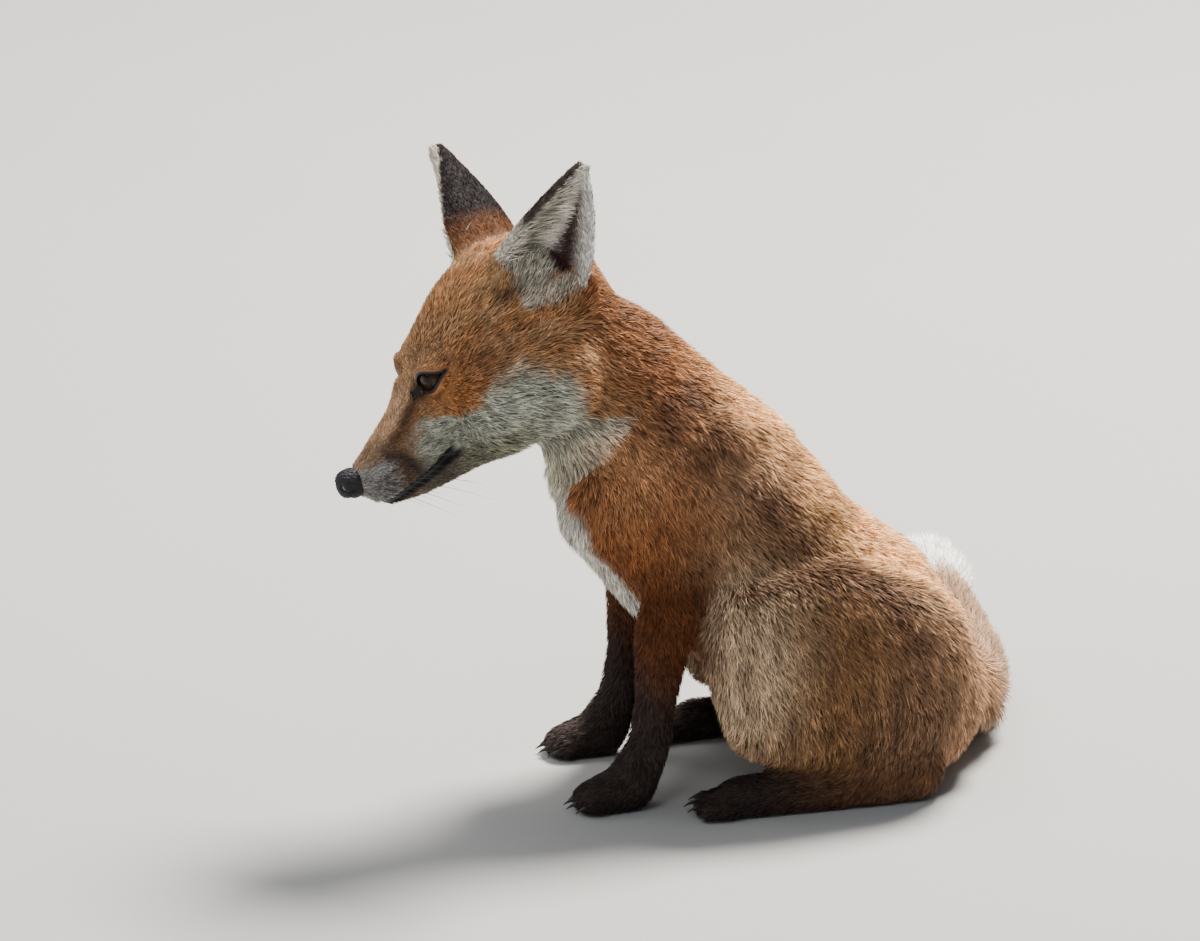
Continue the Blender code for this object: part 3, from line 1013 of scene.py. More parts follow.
    def _mouth(self) -> None:
        """Presses the line of the mouth in, with a fuller upper lip over it."""
        head = self.frames.head.local(self.points)
        height = over_mouth(head)
        present = ramp(head[:, 0], 63, 71) * ramp(-head[:, 2], 41, 46)
        present *= within(self.labels, Region.HEAD)
        groove = np.exp(-(height / 0.75) ** 2) * 1.9
        lip = np.exp(-((height - 2.6) / 1.9) ** 2) * 0.75
        under = np.exp(-((height + 2.4) / 1.8) ** 2) * 0.35
        move = (lip + under - groove) * present
        self.points = self.points + self._normals() * move[:, None] * MM

    def _lids(self) -> None:
        """Wraps the skin round each eyeball and opens it where the eye shows."""
        for side in Side:
            axes = self.frames.eye(side)
            local = axes.local(self.points)
            out = np.linalg.norm(local, axis=1)
            facing = local[:, 2] / np.maximum(out, 1e-6)
            near = (out < EYE_RADIUS + 6.5) & (facing > -0.15)
            edge = EyeOpening.signed(local)
            lid = EYE_RADIUS + self.lid + self.lid_swell * np.exp(-((edge - 2.2) / 1.4) ** 2)
            hold = near * ramp(-edge, -6.5, -3.2)
            target = np.maximum(out, lid) * (1 - hold) + lid * hold
            target = np.where(edge < -0.1, EYE_RADIUS - 1.8, target)
            scale = np.where(near, target / np.maximum(out, 1e-6), 1)
            moved = axes.world(local * scale[:, None])
            self.points = np.where(near[:, None], moved, self.points)

    def _nostril_bed(self) -> None:
        """Draws the skin in under the nose pad, so that the pad stands clear."""
        head = self.frames.head.local(self.points)
        centre = np.array(PAD_BED)
        out = np.linalg.norm((head - centre) / np.array([7.4, 6.9, 7.3]), axis=1)
        inward = ramp(-out, -1.12, -0.9) * ramp(head[:, 0], 106.5, 110)
        target = centre + (head - centre) * (0.86 / np.maximum(out, 0.5))[:, None]
        head = head * (1 - inward[:, None]) + target * inward[:, None]
        self.points = self.frames.head.world(head)

    def _write(self) -> None:
        """Writes the shape back, and keeps what the coat reads."""
        self.normals = self._normals()
        self.obj.data.shade_smooth()
        mesh = self.obj.data
        bpy.context.view_layer.objects.active = self.obj
        self.obj.select_set(True)
        bpy.ops.object.mode_set(mode="EDIT")
        bpy.ops.mesh.select_all(action="SELECT")
        bpy.ops.uv.smart_project(angle_limit=math.radians(70.0), island_margin=0.001)
        bpy.ops.object.mode_set(mode="OBJECT")
        self.obj.select_set(False)
        mesh.uv_layers[0].name = "OFBake"
        mesh.calc_loop_triangles()
        self.triangles = fetched(mesh.loop_triangles, "vertices", 3, np.int32)
        loops = fetched(mesh.loop_triangles, "loops", 3, np.int32)
        self.unwrap = fetched(mesh.uv_layers[0].data, "uv", 2)[loops]


class EyeOpening:
    """The almond between the lids, in an eye's frame."""

    OUTER = -7.3
    INNER = 8.7
    OUTER_RISE = -0.2
    INNER_RISE = -1.4
    UPPER = 4.9
    LOWER = 3.9

    @classmethod
    def bounds(cls, place: Array) -> tuple[Array, Array]:
        """The lids' edges.

        Args:
            place: places along the opening, from the outer corner.

        Returns:
            The height of the upper and of the lower lid at each.
        """
        share = np.clip((place - cls.OUTER) / (cls.INNER - cls.OUTER), 0.0, 1.0)
        chord = cls.OUTER_RISE + (cls.INNER_RISE - cls.OUTER_RISE) * share
        upper = chord + cls.UPPER * np.sin(math.pi * share ** 1.55) ** 0.85
        lower = chord - cls.LOWER * np.sin(math.pi * share ** 1.25) ** 0.9
        return upper, lower

    @classmethod
    def loop(cls, count: int) -> Array:
        """Points round the opening: from the outer corner over the top and back below.

        Args:
            count: how many.

        Returns:
            The points, two numbers each.
        """
        share = (1.0 - np.cos(np.linspace(0.0, math.pi, count // 2 + 1))) / 2.0
        place = cls.OUTER + (cls.INNER - cls.OUTER) * share
        upper, lower = cls.bounds(place)
        over = np.stack([place, upper], axis=1)
        under = np.stack([place, lower], axis=1)[::-1]
        return np.concatenate([over[:-1], under[:-1]])

    @classmethod
    def signed(cls, local: Array) -> Array:
        """About how far outside the opening points lie, seen along the gaze.

        Args:
            local: places in the eye's frame.

        Returns:
            A distance for each, negative inside.
        """
        scale = EYE_RADIUS / np.maximum(np.linalg.norm(local, axis=1), 1e-6)
        flat = local[:, :2] * scale[:, None]
        loop = cls.loop(72)
        full = np.concatenate([loop, loop[:1]])
        points = np.column_stack([flat, np.zeros(len(flat))])
        distance = line_distance(points, np.column_stack([full, np.zeros(len(full))]))
        upper, lower = cls.bounds(flat[:, 0])
        inside = (flat[:, 0] > cls.OUTER) & (flat[:, 0] < cls.INNER)
        inside &= (flat[:, 1] < upper) & (flat[:, 1] > lower)
        behind = local[:, 2] < 0.0
        return np.where(behind, BEHIND_EYE, np.where(inside, -distance, distance))

    @classmethod
    def outside(cls, local: Array) -> Array:
        """As `signed`, but counting the height above the eyeball too.

        Args:
            local: places in the eye's frame.

        Returns:
            A distance for each, negative inside.
        """
        edge = cls.signed(local)
        height = np.maximum(np.linalg.norm(local, axis=1) - EYE_RADIUS - 1.2, 0.0)
        return np.where(edge < 0.0, edge, np.hypot(edge, height))


# --- Markings

@dataclass(frozen=True)
class Dab:
    """A soft spot of colour in a frame, the same on both sides."""

    colour: Colour
    strength: float
    centre: Place
    radii: Place
    most: float = 1

    def mask(self, places: Array) -> Array:
        """Where it lies."""
        return blob(places, self.centre, self.radii)


@dataclass(frozen=True)
class Line:
    """A soft line of colour along a path in a frame, the same on both sides."""

    colour: Colour
    strength: float
    width: float
    path: tuple[Place, ...]
    most: float = 1

    def mask(self, places: Array) -> Array:
        """Where it lies."""
        return np.exp(-(line_distance(places, self.path) / self.width) ** 2)


@dataclass
class Paint:
    """Colours at places in one frame, laid over one another; `facing` and `mottle` steer where they go."""

    places: Array
    labels: Array
    facing: Array
    mottle: Array
    ground: Colour

    def __post_init__(self) -> None:
        """Folds the places onto one side, and starts from one colour everywhere."""
        self.both = np.column_stack([self.places[:, 0], np.abs(self.places[:, 1]), self.places[:, 2]])
        self.colour = np.tile(np.array(self.ground), (len(self.places), 1))

    def lay(self, colour: Colour, mask: Array) -> None:
        """Lays a colour where a mask says."""
        self.colour = blended(self.colour, colour, mask)

    def mark(self, *marks: Dab | Line, where: Any = 1) -> None:
        """Lays marks in their order.

        Args:
            marks: what is laid.
            where: a mask that holds all of them.
        """
        for each in marks:
            self.lay(each.colour, np.minimum(each.strength * where * each.mask(self.both), each.most))


class Markings:
    """The colours of the coat over the whole fox."""

    RUST = (0.31, 0.105, 0.032)
    ORANGE = (0.48, 0.20, 0.068)
    BROWN = (0.25, 0.13, 0.056)
    UMBER = (0.13, 0.062, 0.036)
    SAND = (0.68, 0.42, 0.25)
    PALE = (0.66, 0.63, 0.56)
    WHITE = (0.93, 0.90, 0.86)
    DARK = (0.045, 0.030, 0.026)
    BLACK = (0.014, 0.012, 0.013)
    # Painted shade for hollows: the way into each ear and deep in its bowl
    MAROON = (0.045, 0.018, 0.016)

    # Trunk, legs and tail
    # Painted sunlight: pale warm orange for the upward-facing ridge of the back
    RIDGE = (0.93, 0.52, 0.22)
    NAPE = (0.16, 0.075, 0.034)
    CREAM = (0.92, 0.68, 0.47)
    HOCK = (0.14, 0.075, 0.045)
    UPPER_ARM = (0.085, 0.022, 0.004)
    FOREARM = (0.13, 0.042, 0.014)
    HINDFOOT = (0.15, 0.070, 0.036)
    TAIL = (0.40, 0.25, 0.155)
    GREYED_THIGH = Dab((0.64, 0.47, 0.31), 1.25, (56, 60, 82), (26, 36, 42), most=0.9)
    SHOULDER = Dab((0.62, 0.32, 0.155), 0.8, (6, 42, 180), (28, 24, 28))
    SIDE = Dab((0.46, 0.27, 0.16), 0.7, (64, 44, 170), (26, 24, 20))
    # Painted shade along the crease on top of each thigh
    THIGH_TOP = Line((0.10, 0.048, 0.026), 0.75, 8,
                     ((61, 59, 114), (78, 57, 120), (104, 51, 124)))
    # Painted shadow along the creases behind the shoulder and over the thigh: its width and its paths
    SADDLE_WIDTH = 13
    SADDLE = (
        ((36, 28, 206), (46, 38, 192)),
        ((20, 37, 200), (32, 40, 192), (46, 44, 182)),
        ((72, 43, 156), (86, 45, 144), (104, 51, 124)),
        ((112, 52, 120), (126, 56, 110), (144, 61, 91)),
    )
    COLLAR = ((20, 0, 232), (26, 60, 20))

    # The pale bib: how far back its edge runs at each height
    BIB_HEIGHTS = (60, 80, 104, 125, 136, 147, 162, 178, 197, 212, 235)
    BIB_EDGE = (28, 20, 8, -4, -10, -15, -20, -20, -6, -16, -48)

    # Face
    FACE = (0.44, 0.25, 0.125)
    # Painted sunlight: pale tan for the lit top of the muzzle
    BRIDGE = (0.70, 0.45, 0.28)
    # Painted shade: dark brown for the side of the muzzle below its lit top
    MUZZLE_SIDE = (0.22, 0.105, 0.05)
    CHEEK = (0.52, 0.53, 0.44)
    # Painted shade on the white of the lower cheek, with a painted green reflection
    LOW_CHEEK = (0.20, 0.20, 0.13)
    CHEEK_HAIRS = (0.16, 0.14, 0.12)
    BEHIND_JAW = (0.90, 0.66, 0.46)
    NOSE_SIDE = (0.30, 0.19, 0.12)
    WHISKER_PAD = (0.38, 0.375, 0.37)
    # Painted shade on the chin and lower jaw
    CHIN = (0.13, 0.10, 0.075)
    CROWN = Dab((0.60, 0.35, 0.17), 0.7, (32, 4, 17), (24, 20, 16))
    BETWEEN_EARS = Dab((0.40, 0.18, 0.07), 0.8, (-2, 10, 24), (12, 16, 9))
    EYE_RING = Dab(ORANGE, 1.3, (55, 24, -20), (19, 13, 14))
    BEHIND_EYE = Dab(UMBER, 0.55, (45, 35, -13), (12, 14, 9))
    TEAR = Line((0.075, 0.036, 0.02), 0.8, 3,
                ((73, 12, -19.5), (82, 11, -27.9), (91, 10, -33.5)))
    SMUDGE = Line((0.045, 0.034, 0.032), 0.85, 4.2,
                  ((96, 11, -38.5), (90, 14.5, -44), (86, 16, -52)))
    BROW_TAN = Line((0.36, 0.24, 0.12), 0.8, 5, ((27, 22, 14), (16, 22, 19)))
    # Painted shade in the crease at the front of the ear's root
    EAR_NOTCH = Line((0.05, 0.032, 0.022), 0.9, 3.2, ((22, 27, 9), (11, 29, 8)))
    INNER_CORNER = ((70, 8, -15.5), (72.5, 10.5, -18.8), (69.5, 14.5, -19.6))
    BROW = ((5, 12.5, 8), (7, 3.2, 8))

    # The cheek's pale part: its upper edge at each place along the head
    CHEEK_PLACES = (-14, 5, 12, 22, 32, 42, 50, 59, 72, 83)
    CHEEK_EDGE = (-64, -37, -32, -26, -21, -22.5, -27.5, -30, -31, -36)

    # In front of each ear: its fringe, the floor of its bowl and the way in, dark with painted shade
    FRINGE = ((6, 22, 20), (1, 27, 13), (7, 28, 9), (8, 31, 3),
              (2, 36.5, 2.5), (-11, 40, 3), (-19, 41, 1))
    BASIN = ((3, 22, 19.5), (-9, 21, 21.5), (-8, 28, 15), (0, 28, 11.5))
    PIT = ((-18, 24, 19), (-14.5, 28, 16), (-13, 33.5, 10.5))
    FRINGE_HAIR = (0.52, 0.45, 0.36)
    BASIN_HAIR = (0.50, 0.46, 0.37)
    BASIN_SHADOW = (0.10, 0.07, 0.055)

    # Ears
    EAR_ROOT = (0.12, 0.038, 0.010)
    EAR_BACK = (0.013, 0.008, 0.009)
    EAR_BACK_LIT = (0.027, 0.016, 0.017)
    EAR_FRONT = (0.46, 0.38, 0.28)
    # Painted light: the far ear's front rim, lit pale where the near ear's is dark
    FAR_EAR_RIM = (0.70, 0.62, 0.52)

    def __init__(self, frames: Frames) -> None:
        """Keeps the frames that the markings are placed in."""
        self.frames = frames

    def tint(self, points: Array, normals: Array, labels: Array) -> Array:
        """The coat's colour.

        Args:
            points: places on the skin, in world metres.
            normals: the skin's normals there.
            labels: the region of each.

        Returns:
            A linear colour for each place.
        """
        head = self.frames.head.local(points)
        body = self.frames.body.local(points)
        colour = self._body(body, normals, labels)
        inward = self.frames.head.rows @ normals.T
        face = self._face(head, inward[1] * np.sign(head[:, 1]), labels)
        on_neck = ramp(head[:, 0], -30, 0) * within(labels, Region.NECK)
        seam = np.maximum(within(labels, Region.HEAD), on_neck)
        colour = colour * (1 - seam[:, None]) + face * seam[:, None]
        for ear, number in zip(EARS, EAR_REGIONS):
            on_ear = labels == number
            colour[on_ear] = self._ear(ear, head[on_ear], inward.T[on_ear], face[on_ear])
        patches = 1 + 0.10 * waves(body, 9, 5) + 0.06 * waves(body, 3.5, 6)
        return np.clip(colour * patches[:, None], 0.004, 0.95)

    def _body(self, body: Array, normals: Array, labels: Array) -> Array:
        """Trunk, legs and tail.

        Args:
            body: places in the body's frame.
            normals: the skin's normals there.
            labels: the region of each.

        Returns:
            A linear colour for each place.
        """
        mottle = waves(body, 34, 11) * 0.5 + waves(body, 15, 12) * 0.5
        paint = Paint(body, labels, normals[:, 2], mottle, self.BROWN)
        self._back(paint)
        self._thighs(paint)
        self._limbs(paint, self._underside(paint))
        self._tail(paint)
        return paint.colour

    def _back(self, paint: Paint) -> None:
        """Paints back, neck and flanks, with painted sunlight where the back faces up and painted shadow
        along its creases.

        Args:
            paint: the body's colours.
        """
        x, y, z = paint.both.T
        mottle, rise = paint.mottle, paint.facing
        paint.lay(self.UMBER, 0.45 * ramp(mottle, 0.1, 1.6))
        front = ramp(-x, -75, -20)
        paint.lay(self.RUST, 0.85 * front * ramp(z, 40, 90))
        # Painted sunlight: orange where the skin faces up, at the front
        sunlit_spine = ramp(rise, 0.25, 0.75) * ramp(z, 60, 110)
        paint.lay(self.ORANGE, 0.45 * sunlit_spine * front)
        paint.lay(self.SAND, 0.6 * ramp(x, 105, 175))
        # Painted sunlight on the upward-facing ridge of the back
        sunlit_ridge = ramp(rise, 0.3, 0.8) * ramp(x, 20, 80) * ramp(z, 60, 100) * ramp(-y, -50, -32)
        paint.lay(self.RIDGE, 0.85 * sunlit_ridge)
        paint.mark(self.GREYED_THIGH)
        paint.lay(self.NAPE, 0.5 * within(paint.labels, Region.NECK))
        paint.mark(self.SHOULDER, self.SIDE)
        # Painted shadow in umber along the creases, broken by the mottle
        gaps = [line_distance(paint.both, path) for path in self.SADDLE]
        shadow = np.maximum.reduce([np.exp(-(gap / self.SADDLE_WIDTH) ** 2) for gap in gaps])
        paint.lay(self.UMBER, 0.85 * shadow * ramp(mottle, -2.2, 0.3))

    def _thighs(self, paint: Paint) -> None:
        """Lays painted shade along the top of the thighs, and paints their streaks, the hocks and the collar.

        Args:
            paint: the body's colours.
        """
        x, y, z = paint.both.T
        thigh = within(paint.labels, Region.THIGHS)
        # Painted shade along the top of the thigh
        paint.mark(self.THIGH_TOP, where=thigh)
        streak = waves(paint.places * np.array([2.2, 2.2, 0.35]), 16, 13)
        paint.lay(self.UMBER, 0.35 * thigh * ramp(streak, 0.2, 1.4))
        paint.lay(self.HOCK, 0.6 * ramp(x, 100, 135) * ramp(-z, -96, -50) * ramp(y, 40, 56))
        collar = blob(paint.places, *self.COLLAR)
        paint.lay(self.UMBER, 0.25 * collar * ramp(paint.mottle, -0.4, 1))

    def _underside(self, paint: Paint) -> Array:
        """Paints the pale bib and belly.

        Args:
            paint: the body's colours.

        Returns:
            How much of each place is pale.
        """
        x, y, z = paint.both.T
        side = paint.places[:, 1]
        edge = np.interp(z, self.BIB_HEIGHTS, self.BIB_EDGE)
        edge = edge + 26 * ramp(-y, -26, -14) * ramp(-z, -215, -170) * ramp(z, 78, 100)
        edge = edge + 9 * ramp(side, 4, 30) * ramp(z, 130, 150)
        soft = 3.5 + 4 * ramp(z, 155, 180)
        bib = ramp((edge - x + 1.6 * paint.mottle) / soft, -1, 1)
        belly = ramp(-paint.facing, 0.05, 0.5) * ramp(-y, -44, -28) * ramp(-z, -120, -85)
        belly = belly * ramp(-x, -130, -100) * ramp(x, 52, 72)
        chest = within(paint.labels, Region.TRUNK, Region.NECK, Region.SHOULDERS)
        creamy = ramp(z, 152, 180)[:, None]
        pale = np.array(self.PALE) * (1 - creamy) + np.array(self.CREAM) * creamy
        share = np.maximum(bib * chest, 0.8 * belly * within(paint.labels, Region.TRUNK))[:, None]
        paint.colour = paint.colour * (1 - share) + pale * share
        return share[:, 0]

    def _limbs(self, paint: Paint, bib: Array) -> None:
        """Paints upper arms, forelegs with dark socks, and hind feet.

        Args:
            paint: the body's colours.
            bib: how much of each place is pale already.
        """
        x, y, z = paint.both.T
        side = paint.places[:, 1]
        upper_arm = ramp(-z, -146, -112) * ramp(y, 26, 36) * ramp(-x, -52, -40) * (1 - bib)
        paint.lay(self.UPPER_ARM, 0.92 * upper_arm)
        limb = within(paint.labels, Region.FOREARMS, Region.FOREPAWS)
        paint.lay(self.FOREARM, limb * 0.85)
        paint.lay(self.DARK, limb * ramp(-z - 14 * (x - 15) / 20, -92, -48))
        foot = ramp(-z, -34, -16) * ramp(x, 30, 40) * ramp(y, 34, 44) * ramp(-side, -72, -66)
        paint.lay(self.HINDFOOT, 0.8 * foot)
        paint.lay(self.DARK, foot * ramp(37 * (side > 0) - x, -125, -66))

    def _tail(self, paint: Paint) -> None:
        """Paints the tail, dusky along its middle and white at its tip.

        Args:
            paint: the body's colours.
        """
        side = paint.places[:, 1]
        tail = within(paint.labels, Region.TAIL).astype(float)
        paint.lay(self.TAIL, tail * 0.9)
        paint.lay(self.UMBER, 0.25 * tail * ramp(paint.mottle, -0.2, 1.4) * ramp(-side, -140, -110))
        paint.lay(self.UMBER, 0.3 * (tail * ramp(side, 70, 100) * ramp(-side, -140, -118)))
        edge = 146 + 6 * waves(paint.places, 22, 14)
        paint.lay(self.WHITE, tail * ramp(side - edge, -6, 8))

    def _face(self, head: Array, outward: Array, labels: Array) -> Array:
        """The face.

        Args:
            head: places in the head's frame.
            outward: how much the skin faces away from the head's middle.
            labels: the region of each.

        Returns:
            A linear colour for each place.
        """
        x = head[:, 0]
        grain = np.clip(waves(head, 11, 21), -1.2, 1.2)
        paint = Paint(head, labels, outward, grain, self.FACE)
        paint.lay(self.ORANGE, 0.55 * ramp(-x, -64, -40) * ramp(grain, -1, 1.2))
        paint.lay(self.UMBER, 0.30 * ramp(waves(head, 7, 22), 0.2, 1.5) * ramp(-x, -70, -40))
        paint.mark(self.CROWN, self.BETWEEN_EARS, self.EYE_RING)
        # Painted sunlight on the top of the muzzle
        paint.lay(self.BRIDGE, 0.85 * (ramp(x, 62, 86) * ramp(-paint.both[:, 1], -12.5, -6)))
        paint.mark(self.BEHIND_EYE)
        # Painted shade on the side of the muzzle
        paint.lay(self.MUZZLE_SIDE, 0.55 * (ramp(x, 66, 82) * ramp(paint.both[:, 1], 6, 11)))
        self._cheeks(paint)
        paint.mark(self.TEAR)
        paint.lay(self.NOSE_SIDE, 0.7 * (ramp(x, 88, 96) * ramp(-head[:, 2], 29, 35)))
        pad = ramp(x, 92, 99) * ramp(-head[:, 2] + grain, 37, 42.5)
        paint.lay(self.WHISKER_PAD, 0.9 * pad)
        paint.mark(self.SMUDGE, self.BROW_TAN)
        self._ear_bowls(paint)
        # Painted shade at the front of each ear's root
        paint.mark(self.EAR_NOTCH)
        self._mouth(paint)
        self._eyes(paint)
        return paint.colour

    def _cheeks(self, paint: Paint) -> None:
        """Paints the pale cheeks, with painted shade below and creamy behind the jaw.

        Args:
            paint: the face's colours.
        """
        x, _, z = paint.both.T
        line = np.interp(x, self.CHEEK_PLACES, self.CHEEK_EDGE)
        rear = 8 - 46 * ramp(-z, 58, 76)
        soft = 2.6 + 5 * ramp(-x, -48, -36)
        cheek = ramp((line - z + 2.2 * paint.mottle) / soft, -1, 1) * ramp(x - rear, -6, 6)
        white = cheek * ramp(-x, -90, -78)
        paint.lay(self.CHEEK, white)
        # Painted shade on the lower cheek
        low = ramp(-z, 42, 55) * ramp(x, 24, 42)
        paint.lay(self.LOW_CHEEK, 0.85 * white * low)
        streak = waves(paint.places * np.array([0.6, 1, 1.8]), 7, 23)
        paint.lay(self.CHEEK_HAIRS, 0.5 * white * ramp(streak, 0.1, 1.5))
        cream = ramp(-x, -22, 4) * ramp(-z, 62, 80)
        paint.lay(self.BEHIND_JAW, 0.8 * cheek * cream)

    def _ear_bowls(self, paint: Paint) -> None:
        """Paints fringe and floor of the bowl in front of each ear, with painted shadow among its hairs and
        painted shade in the way in.

        Args:
            paint: the face's colours.
        """
        fringe, basin, pit = (line_distance(paint.both, path) for path in (self.FRINGE, self.BASIN, self.PIT))
        outer = ramp(paint.facing, 0, 0.4)
        paint.lay(self.FRINGE_HAIR, 0.95 * ramp(-fringe, -7.5, -4) * outer)
        paint.lay(self.BASIN_HAIR, ramp(-basin, -9, -5.5) * outer)
        hairs = waves(paint.places * np.array([1.6, 1.6, 0.7]), 4, 24)
        near = ramp(-np.minimum(fringe, basin), -8, -4)
        paint.lay(self.BASIN_SHADOW, 0.6 * near * ramp(hairs, 0.2, 1.4))
        # Painted shade in the way into the ear
        paint.lay(self.MAROON, ramp(-pit, -6.5, -2.5))

    def _mouth(self, paint: Paint) -> None:
        """Paints whisker spots, painted shade on the chin, and lips.

        Args:
            paint: the face's colours.
        """
        x, _, z = paint.both.T
        spots = np.zeros(len(x))
        for row in range(WHISKER_ROWS):
            for place in range(5):
                bed_x, bed_z = whisker_bed(row, place, 4)
                spot = (bed_x, 11.5 - 0.35 * place, bed_z)
                spots = np.maximum(spots, blob(paint.both, spot, (1.5, 5, 1.2)))
        paint.lay(self.DARK, 0.85 * spots)
        height = over_mouth(paint.places)
        lip = ramp(-height, -1, 0.6) * ramp(height, -6.6, -4.4) * ramp(x, 60, 67) * ramp(-z, 42, 46)
        # Painted shade under the jaw
        chin_shade = ramp(-height, 3, 6) * ramp(x, 56, 72)
        paint.lay(self.CHIN, 0.85 * chin_shade)
        paint.lay(self.BLACK, lip)

    def _eyes(self, paint: Paint) -> None:
        """Paints the dark rim and inner corner of each eye, and the sandy hair by its lids.

        Args:
            paint: the face's colours.
        """
        for side in Side:
            flip = np.array([1, side.value, 1])
            local = self.frames.eye(side).local(self.frames.head.world(paint.places))
            edge = EyeOpening.outside(local)
            near = np.linalg.norm(local, axis=1) < EYE_RADIUS + 8
            rim = ramp(-edge, -1.7, -0.7) * near
            corner = line_distance(paint.places, [np.array(place) * flip for place in self.INNER_CORNER])
            paint.lay(self.BLACK, np.maximum(rim, 0.9 * np.exp(-(corner / 2.4) ** 2)))
            paint.lay(self.SAND, 0.5 * blob(local, *self.BROW))

    def _ear(self, ear: EarShape, head: Array, inward: Array, face: Array) -> Array:
        """An ear: dark behind, pale hollow in front with painted shade deep inside, and a rim along its front
        edge, dark on the near ear and painted light on the far one.

        Args:
            ear: which ear.
            head: places on it, in the head's frame.
            inward: the skin's normals there, in the head's frame.
            face: the face's colours there.

        Returns:
            A linear colour for each place.
        """
        near = ear.side is Side.LEFT
        along, across = ear.place(head)
        front = 0.6 * ramp(-across, -0.4, -0.05) * near
        inside = ramp(inward @ ear.opening() + front, -0.15, 0.25)
        if near:
            outward = inward @ unit(np.array([0.2, 0.9, 0.35]))
            inside = np.maximum(inside, ramp(outward, 0, 0.3) * ramp(across, -0.085, -0.045))
        back = blended(face, self.EAR_ROOT, 0.9 * ramp(along, -0.15, 0.05))
        back = blended(back, self.EAR_BACK, ramp(along, 0.10, 0.34))
        lit = 0.5 * ramp(waves(head, 9, 31), 0, 1.4) * ramp(along, 0.3, 0.5)
        back = blended(back, self.EAR_BACK_LIT, lit)
        hollow = np.tile(np.array(self.PALE) * 1.2, (len(head), 1))
        hollow = blended(hollow, self.EAR_FRONT, 0.3 * ramp(-across, -0.45, -0.1) * ramp(-along, -0.8, -0.4))
        # Painted shade deep in the ear's hollow
        deep = np.exp(-((across - 0.63) / 0.26) ** 2) * ramp(along, -0.05, 0.08) * ramp(-along, -0.92, -0.55)
        hollow = blended(hollow, self.MAROON, deep)
        colour = back * (1 - inside[:, None]) + hollow * inside[:, None]
        if near:
            rim, rim_colour = ramp(-across, 0.045, 0.085) * ramp(along, 0.18, 0.32), self.DARK
        else:
            # Painted light: a pale lit rim on the far ear
            rim, rim_colour = ramp(-across, 0.055, 0.085) * ramp(along, 0.05, 0.15), self.FAR_EAR_RIM
        colour = blended(colour, rim_colour, 0.95 * rim)
        return blended(colour, self.WHITE, 0.75 * ramp(across, 0.90, 0.99) * ramp(along, 0.05, 0.2) * inside)


# --- The lie of the coat

@dataclass(frozen=True)
class Stroke:
    """The way that the hair lies at one place."""

    place: Place
    way: Place


